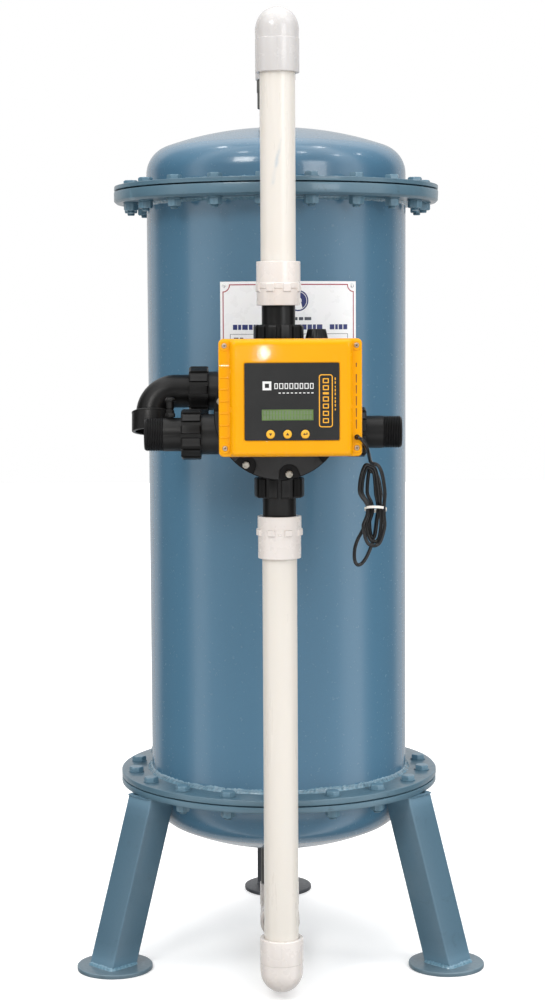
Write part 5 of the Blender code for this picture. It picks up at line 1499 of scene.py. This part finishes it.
# two rows of slightly darker character cells, with nothing written in them
CELL_PITCH, CELL_SIZE, CELL_START = (4.02, 6.1), (3.0, 5.2), (2.6, 1.6)      # in x and z
cells = Geo()
for row in range(2):
    for col in range(16):
        x = GLASS_X[0] + CELL_START[0] + col * CELL_PITCH[0]
        z = GLASS_Z[0] + CELL_START[1] + row * CELL_PITCH[1]
        cells.add(extruded(round_rect(x, x + CELL_SIZE[0], z, z + CELL_SIZE[1], 0.2, 1),
                           -399.58, -399.66))
piece("display_cells", cells, ["cell"], angle=40)

# keys: domed caps with a raised sign
KEY_PROFILE = [(0, 402.05, 0), (4.4, 401.9, 1.2), (5.75, 401.2, 0.9), (5.75, 395.6, 0.2),
               (2.0, 395.6, 0), (2.0, 389.3, 0.2), (0, 389.3, 0)]
# signs as (x, z) from the key's middle
KEY_SIGNS = {
    "down": [(-2.2, 1.4), (2.2, 1.4), (0, -2.2)],
    "up": [(-2.2, -1.4), (2.2, -1.4), (0, 2.2)],
    "enter": [(-3.0, 0), (-0.8, 1.8), (-0.8, 0.6), (1.7, 0.6), (1.7, 2.3), (2.9, 2.3),
              (2.9, -0.6), (-0.8, -0.6), (-0.8, -1.8)]}
for name, x in KEYS.items():
    cap = Geo(turned(KEY_PROFILE, 56, closed=False), pose((x, 0, KEY_Z), FRONT))
    piece(f"key_{name}_cap", cap, ["key"], "button_" + name,
          body="key_" + name, angle=40)
    sign = [(x + across, KEY_Z + up) for across, up in KEY_SIGNS[name]]
    piece(f"key_{name}_sign", Geo(extruded(sign, -401.9, -402.18)), ["dark_ink"],
          body="key_" + name, angle=50)

# base: black tray behind the lid, its back plate, and a gasket line, as (inset, y)
BASE_WALL = ((3.0, -365.5), (0.1, -365.5), (0.0, -365.0), (0.0, -354.6), (0.8, -352.8),
             (2.6, -352.05), (40.0, -352.05), (40.0, -354.4), (3.0, -354.6))
BASE_GASKET = ((0.9, -365.2), (0.9, -367.4), (4.0, -367.4), (4.0, -365.2))
geo = Geo(wrapped(case_loops(BASE_WALL)))
geo.add(rect_slab((CASE_X[0] + 39.0, CASE_X[1] - 39.0), (CASE_Z[0] + 39.0, CASE_Z[1] - 39.0),
                  2.0, ((0.0, -352.1), (0.0, -354.3))))
geo.add(wrapped(case_loops(BASE_GASKET)), slot=1)
piece("controller_tray", geo, ["black", "rubber"], "controller_base", angle=34)

# =====================================================================
# power cable and its tie
# =====================================================================
CABLE_R = 2.45
COIL_TOP, COIL_LOW, COIL_FRONT_Y, COIL_PITCH = 760.0, 648.0, -350.0, 7.0
COIL_MIDDLE, WAIST_Z, WAIST_PINCH = 130.0, 697.0, 0.58
LEFT_REACH, RIGHT_REACH = (18.5, 12.6, 6.4, 3.0), (17.6, 11.4, 5.2, 15.0)     # per loop


def smooth(t):
    t = max(0.0, min(1.0, t))
    return t * t * (3 - 2 * t)


def strand(turn):
    """A point of the coil: flat loops, one behind the other, pinched at the tie."""
    k = int(turn)
    angle = 2 * math.pi * turn
    top, low = COIL_TOP - 4.2 * k, COIL_LOW + 4.6 * k      # each loop is shorter
    z = (top + low) / 2 + (top - low) / 2 * math.cos(angle)
    side = math.sin(angle)
    wide = RIGHT_REACH[k] if side > 0 else LEFT_REACH[k]
    if z > WAIST_Z:
        share = (z - WAIST_Z) / (top - WAIST_Z)
        pinch = WAIST_PINCH + 0.42 * smooth(share / 0.42)
        middle = COIL_MIDDLE - 6.0 * smooth(share / 0.45)
    else:
        share = (WAIST_Z - z) / (WAIST_Z - low)
        pinch = WAIST_PINCH + 0.34 * smooth(share / 0.45)
        middle = COIL_MIDDLE - 2.6 * smooth(share / 0.5)
    blunt = math.copysign(abs(side) ** 0.72, side)
    x = middle + wide * pinch * blunt + 0.9 * math.sin(turn * 9.1 + 0.7)
    return x, COIL_FRONT_Y + COIL_PITCH * turn, z


# from the lid's lower right corner to the coil
LEAD = [(CABLE_X, -383.0, CABLE_Z), (CABLE_X, -389.5, CABLE_Z), (104.2, -393.6, 797.4),
        (108.6, -394.8, 794.4), (113.2, -392.4, 788.0), (116.5, -386.0, 780.5),
        (119.2, -374.5, 771.5), (121.4, -362.0, 763.6)]
FREE_END = [(132.0, -327.6, 684.0), (129.4, -326.4, 664.0), (125.0, -325.4, 647.0),
            (119.0, -324.6, 632.0), (112.0, -323.6, 621.6), (105.6, -322.9, 619.6),
            (101.9, -322.4, 627.0), (102.2, -321.8, 641.0), (105.8, -321.2, 653.0),
            (110.6, -320.6, 662.0), (114.6, -320.0, 670.0)]
GROMMET = [(3.1, 1.4, 0.3), (3.6, 0.8, 0.4), (3.6, -1.0, 0), (2.3, -1.0, 0), (2.3, 1.4, 0.3)]
coil = [strand(i / 24) for i in range(3 * 24 + 6)]
line = (curve_points(LEAD, 6)[:-1] + curve_points(coil, 3)[:-1]
        + curve_points([coil[-1]] + FREE_END, 6))
geo = Geo(tube(line, CABLE_R, 16))
geo.add(turned(GROMMET, 40), matrix=pose((CABLE_X, -388.3, CABLE_Z), FRONT))
piece("cable_bundle", geo, ["cable"], "power_cable", angle=60)

# flat nylon tie round the pinched bundle, with its square head at the back
TIE = Vector((129.8, COIL_FRONT_Y + COIL_PITCH * 1.75, WAIST_Z))
TIE_REACH_X, TIE_REACH_Y, TIE_T, TIE_HALF = 14.0, 16.4, 1.1, 1.7
loops = []
for k in range(72):
    angle = 2 * math.pi * k / 72
    x, y = math.cos(angle), math.sin(angle)
    r = 1 / math.sqrt((x / TIE_REACH_X) ** 2 + (y / TIE_REACH_Y) ** 2)
    tilt = -0.6 * x - 4.6 * y
    loops.append([(TIE.x + wide * x, TIE.y + wide * y, TIE.z + rise + tilt)
                  for wide, rise in ((r, -TIE_HALF), (r + TIE_T, -TIE_HALF),
                                     (r + TIE_T, TIE_HALF), (r, TIE_HALF))])
geo = Geo(loft(loops, cap=False, closed=True))
geo.add(rect_slab((TIE.x - 3.2, TIE.x + 3.2), (TIE.z - 6.6, TIE.z - 1.8), 0.8,
                  ((0.5, TIE.y + 21.6), (0.0, TIE.y + 21.0), (0.0, TIE.y + 17.4),
                   (0.5, TIE.y + 16.8))))
piece("cable_tie_band", geo, ["nylon"], "cable_tie", angle=40)

# =====================================================================
# inner parts keep their CAD shape and get their own materials
# =====================================================================
INNER_PARTS = {
    "top_gasket": "painted_gasket", "bottom_gasket": "painted_gasket",
    "top_strainer": "acetal", "bottom_strainer": "acetal", "resin_bed": "beads",
    "stator_disc": "acetal", "rotor": "acetal", "drive_gear": "acetal",
    "motor_pinion": "acetal", "gearmotor": "steel", "circuit_board": "board"}
for node, mat in INNER_PARTS.items():
    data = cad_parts[node].data
    data.materials.clear()
    data.materials.append(MATERIALS[mat])
    for polygon in data.polygons:
        polygon.material_index = 0


# =====================================================================
# stage, light and camera, in metres from the origin
# =====================================================================
def floor_material():
    """Pale to the camera, greyer in bounced light, and mirrored only in a band in front."""
    mat = Mat("studio_floor")
    shade = mat.ramp(mat.noise(scale=1.2, detail=2.0), [(0.3, 0.90), (0.7, 0.92)])
    rays = mat.add("ShaderNodeLightPath").outputs
    ramp_per_metre = -0.2      # the ramp runs from y = 0 to y = -5
    in_front = mat.ramp(mat.math("MULTIPLY", mat.axis(1), ramp_per_metre),
                        [(0.10, 0.0), (0.24, 1.0), (0.56, 1.0), (0.80, 0.0)])
    hidden = mat.math("MULTIPLY", rays["Is Glossy Ray"], mat.math("SUBTRACT", 1.0, in_front))
    camera_glow = 0.27
    return mat.finish(
        Base_Color=mat.mix(rays["Is Diffuse Ray"], shade, (0.50, 0.49, 0.48)),
        Roughness=0.85, Specular_IOR_Level=0.1, Emission_Color=(1.0, 1.0, 1.0),
        Emission_Strength=mat.math("MULTIPLY", rays["Is Camera Ray"], camera_glow),
        Alpha=mat.math("SUBTRACT", 1.0, hidden))


FLOOR_HALF = 9.0
floor_mesh = bpy.data.meshes.new("studio_floor")
floor_mesh.from_pydata([(x * FLOOR_HALF, y * FLOOR_HALF, 0)
                        for x, y in ((-1, -1), (1, -1), (1, 1), (-1, 1))], [], [(0, 1, 2, 3)])
floor_mesh.materials.append(floor_material())
floor = bpy.data.objects.new("studio_floor", floor_mesh)
bpy.context.scene.collection.objects.link(floor)
floor.location.z = -0.0005

# brightness round the horizon: (turn from the camera's side at 0 to straight behind at 1, level)
LEFT_GLOW = [(0.0, 0.33), (0.22, 0.36), (0.34, 0.48), (0.385, 1.10), (0.43, 1.15),
             (0.465, 0.36), (0.51, 0.05), (0.70, 0.06), (0.77, 0.62), (1.0, 0.72)]
RIGHT_GLOW = [(0.0, 0.33), (0.20, 0.38), (0.29, 0.60), (0.345, 1.30), (0.425, 1.55),
              (0.465, 0.42), (0.51, 0.07), (0.68, 0.10), (0.75, 0.62), (1.0, 0.72)]
# brightness by height: a broad soft light overhead, and more of it for reflections
OVERHEAD = [(0.30, 0.0), (0.62, 0.30), (0.85, 0.85), (1.0, 1.0)]
OVERHEAD_SHINE = [(0.60, 0.0), (0.90, 0.25), (1.0, 0.25)]
DIFFUSE_BOOST = 0.42

world = bpy.data.worlds.new("studio")
bpy.context.scene.world = world
world.use_nodes = True
world.node_tree.nodes.clear()
sky = Nodes(world.node_tree)
output = sky.add("ShaderNodeOutputWorld")
split = sky.add("ShaderNodeSeparateXYZ")
sky.feed(split.inputs[0], sky.add("ShaderNodeTexCoord").outputs["Generated"])
sky_x, sky_y, sky_z = split.outputs
turn = sky.math("DIVIDE", sky.math("ARCTAN2", sky.math("ABSOLUTE", sky_x),
                                   sky.math("MULTIPLY", sky_y, -1.0)), math.pi)
horizon = sky.mix(sky.math("GREATER_THAN", sky_x, 0.0), sky.ramp(turn, LEFT_GLOW),
                  sky.ramp(turn, RIGHT_GLOW))
both = sky.mix(1.0, horizon, sky.ramp(sky_z, OVERHEAD), "ADD")
rays = sky.add("ShaderNodeLightPath").outputs
lit = sky.mix(rays["Is Glossy Ray"], both, sky.ramp(sky_z, OVERHEAD_SHINE), "ADD")
glow = sky.add("ShaderNodeBackground")
sky.feed(glow.inputs["Color"], lit)
sky.feed(glow.inputs["Strength"],
         sky.math("ADD", sky.math("MULTIPLY", rays["Is Diffuse Ray"], DIFFUSE_BOOST), 1.0))
plain = sky.add("ShaderNodeBackground")      # white to the camera
sky.feed(plain.inputs["Color"], (1.0, 1.0, 1.0))
sky.feed(plain.inputs["Strength"], 1.0)
choose = sky.add("ShaderNodeMixShader")
for socket, value in zip(choose.inputs,
                         (rays["Is Camera Ray"], glow.outputs[0], plain.outputs[0])):
    sky.feed(socket, value)
sky.feed(output.inputs["Surface"], choose.outputs[0])


def area(name, spot, target, size, power, colour=(1, 1, 1), height=None):
    light = bpy.data.lights.new(name, "AREA")
    light.shape = "RECTANGLE"
    light.size, light.size_y = size, height or size
    light.energy, light.color = power, colour
    obj = bpy.data.objects.new(name, light)
    bpy.context.scene.collection.objects.link(obj)
    obj.location = spot
    obj.rotation_euler = (Vector(target) - Vector(spot)).to_track_quat("-Z", "Y").to_euler()


area("key_soft", spot=(-1.7, -3.0, 2.9), target=(0, 0, 0.75), size=1.1, power=42,
     colour=(1.0, 0.985, 0.96))
area("fill_soft", spot=(2.1, -3.2, 1.8), target=(0, 0, 0.7), size=1.4, power=26,
     colour=(0.97, 0.985, 1.0))
area("low_fill", spot=(0.0, -3.4, 0.35), target=(0, 0, 0.3), size=1.6, power=5)
# ceiling panels, seen as small glints on the top head's knuckle
CEILING = ((-1.03, 0.10), (-0.96, -1.26), (0.80, -1.44), (0.90, -0.21), (2.26, -1.17),
           (2.55, 0.11))
for i, (x, y) in enumerate(CEILING):
    area(f"ceiling_{i + 1}", spot=(x, y, 3.2), target=(0, 0, 1.2), size=0.24, power=1.7,
         height=0.20)
# two small lamps by the camera, seen as glints on the yellow cover
area("cover_glint_1", spot=(-0.014, -3.06, 0.868), target=(-0.022, -0.37, 0.912), size=0.016,
     power=0.30, height=0.036)
area("cover_glint_2", spot=(-0.124, -3.06, 0.860), target=(-0.075, -0.36, 0.908), size=0.025,
     power=0.5, height=0.07)

CAMERA_SPOT = (-0.0275, -3.0678, 0.9517)
camera = bpy.data.cameras.new("camera")
camera.sensor_fit = "AUTO"
camera.sensor_width = 36.0
camera.lens = 73.66464
camera.clip_start, camera.clip_end = 0.05, 60.0
eye = bpy.data.objects.new("camera", camera)
bpy.context.scene.collection.objects.link(eye)
rightward = Vector((0.99996, -0.00685, -0.00530)).normalized()
forward = Vector((0.00636, 0.99618, -0.08708)).normalized()
upward = rightward.cross(forward).normalized()
view = Matrix.Identity(4)
for i in range(3):
    view[i][0], view[i][1], view[i][2] = rightward[i], upward[i], -forward[i]
view.translation = Vector(CAMERA_SPOT)
eye.matrix_world = view
scene = bpy.context.scene
scene.camera = eye
scene.view_settings.view_transform = "Standard"
scene.view_settings.look = "None"
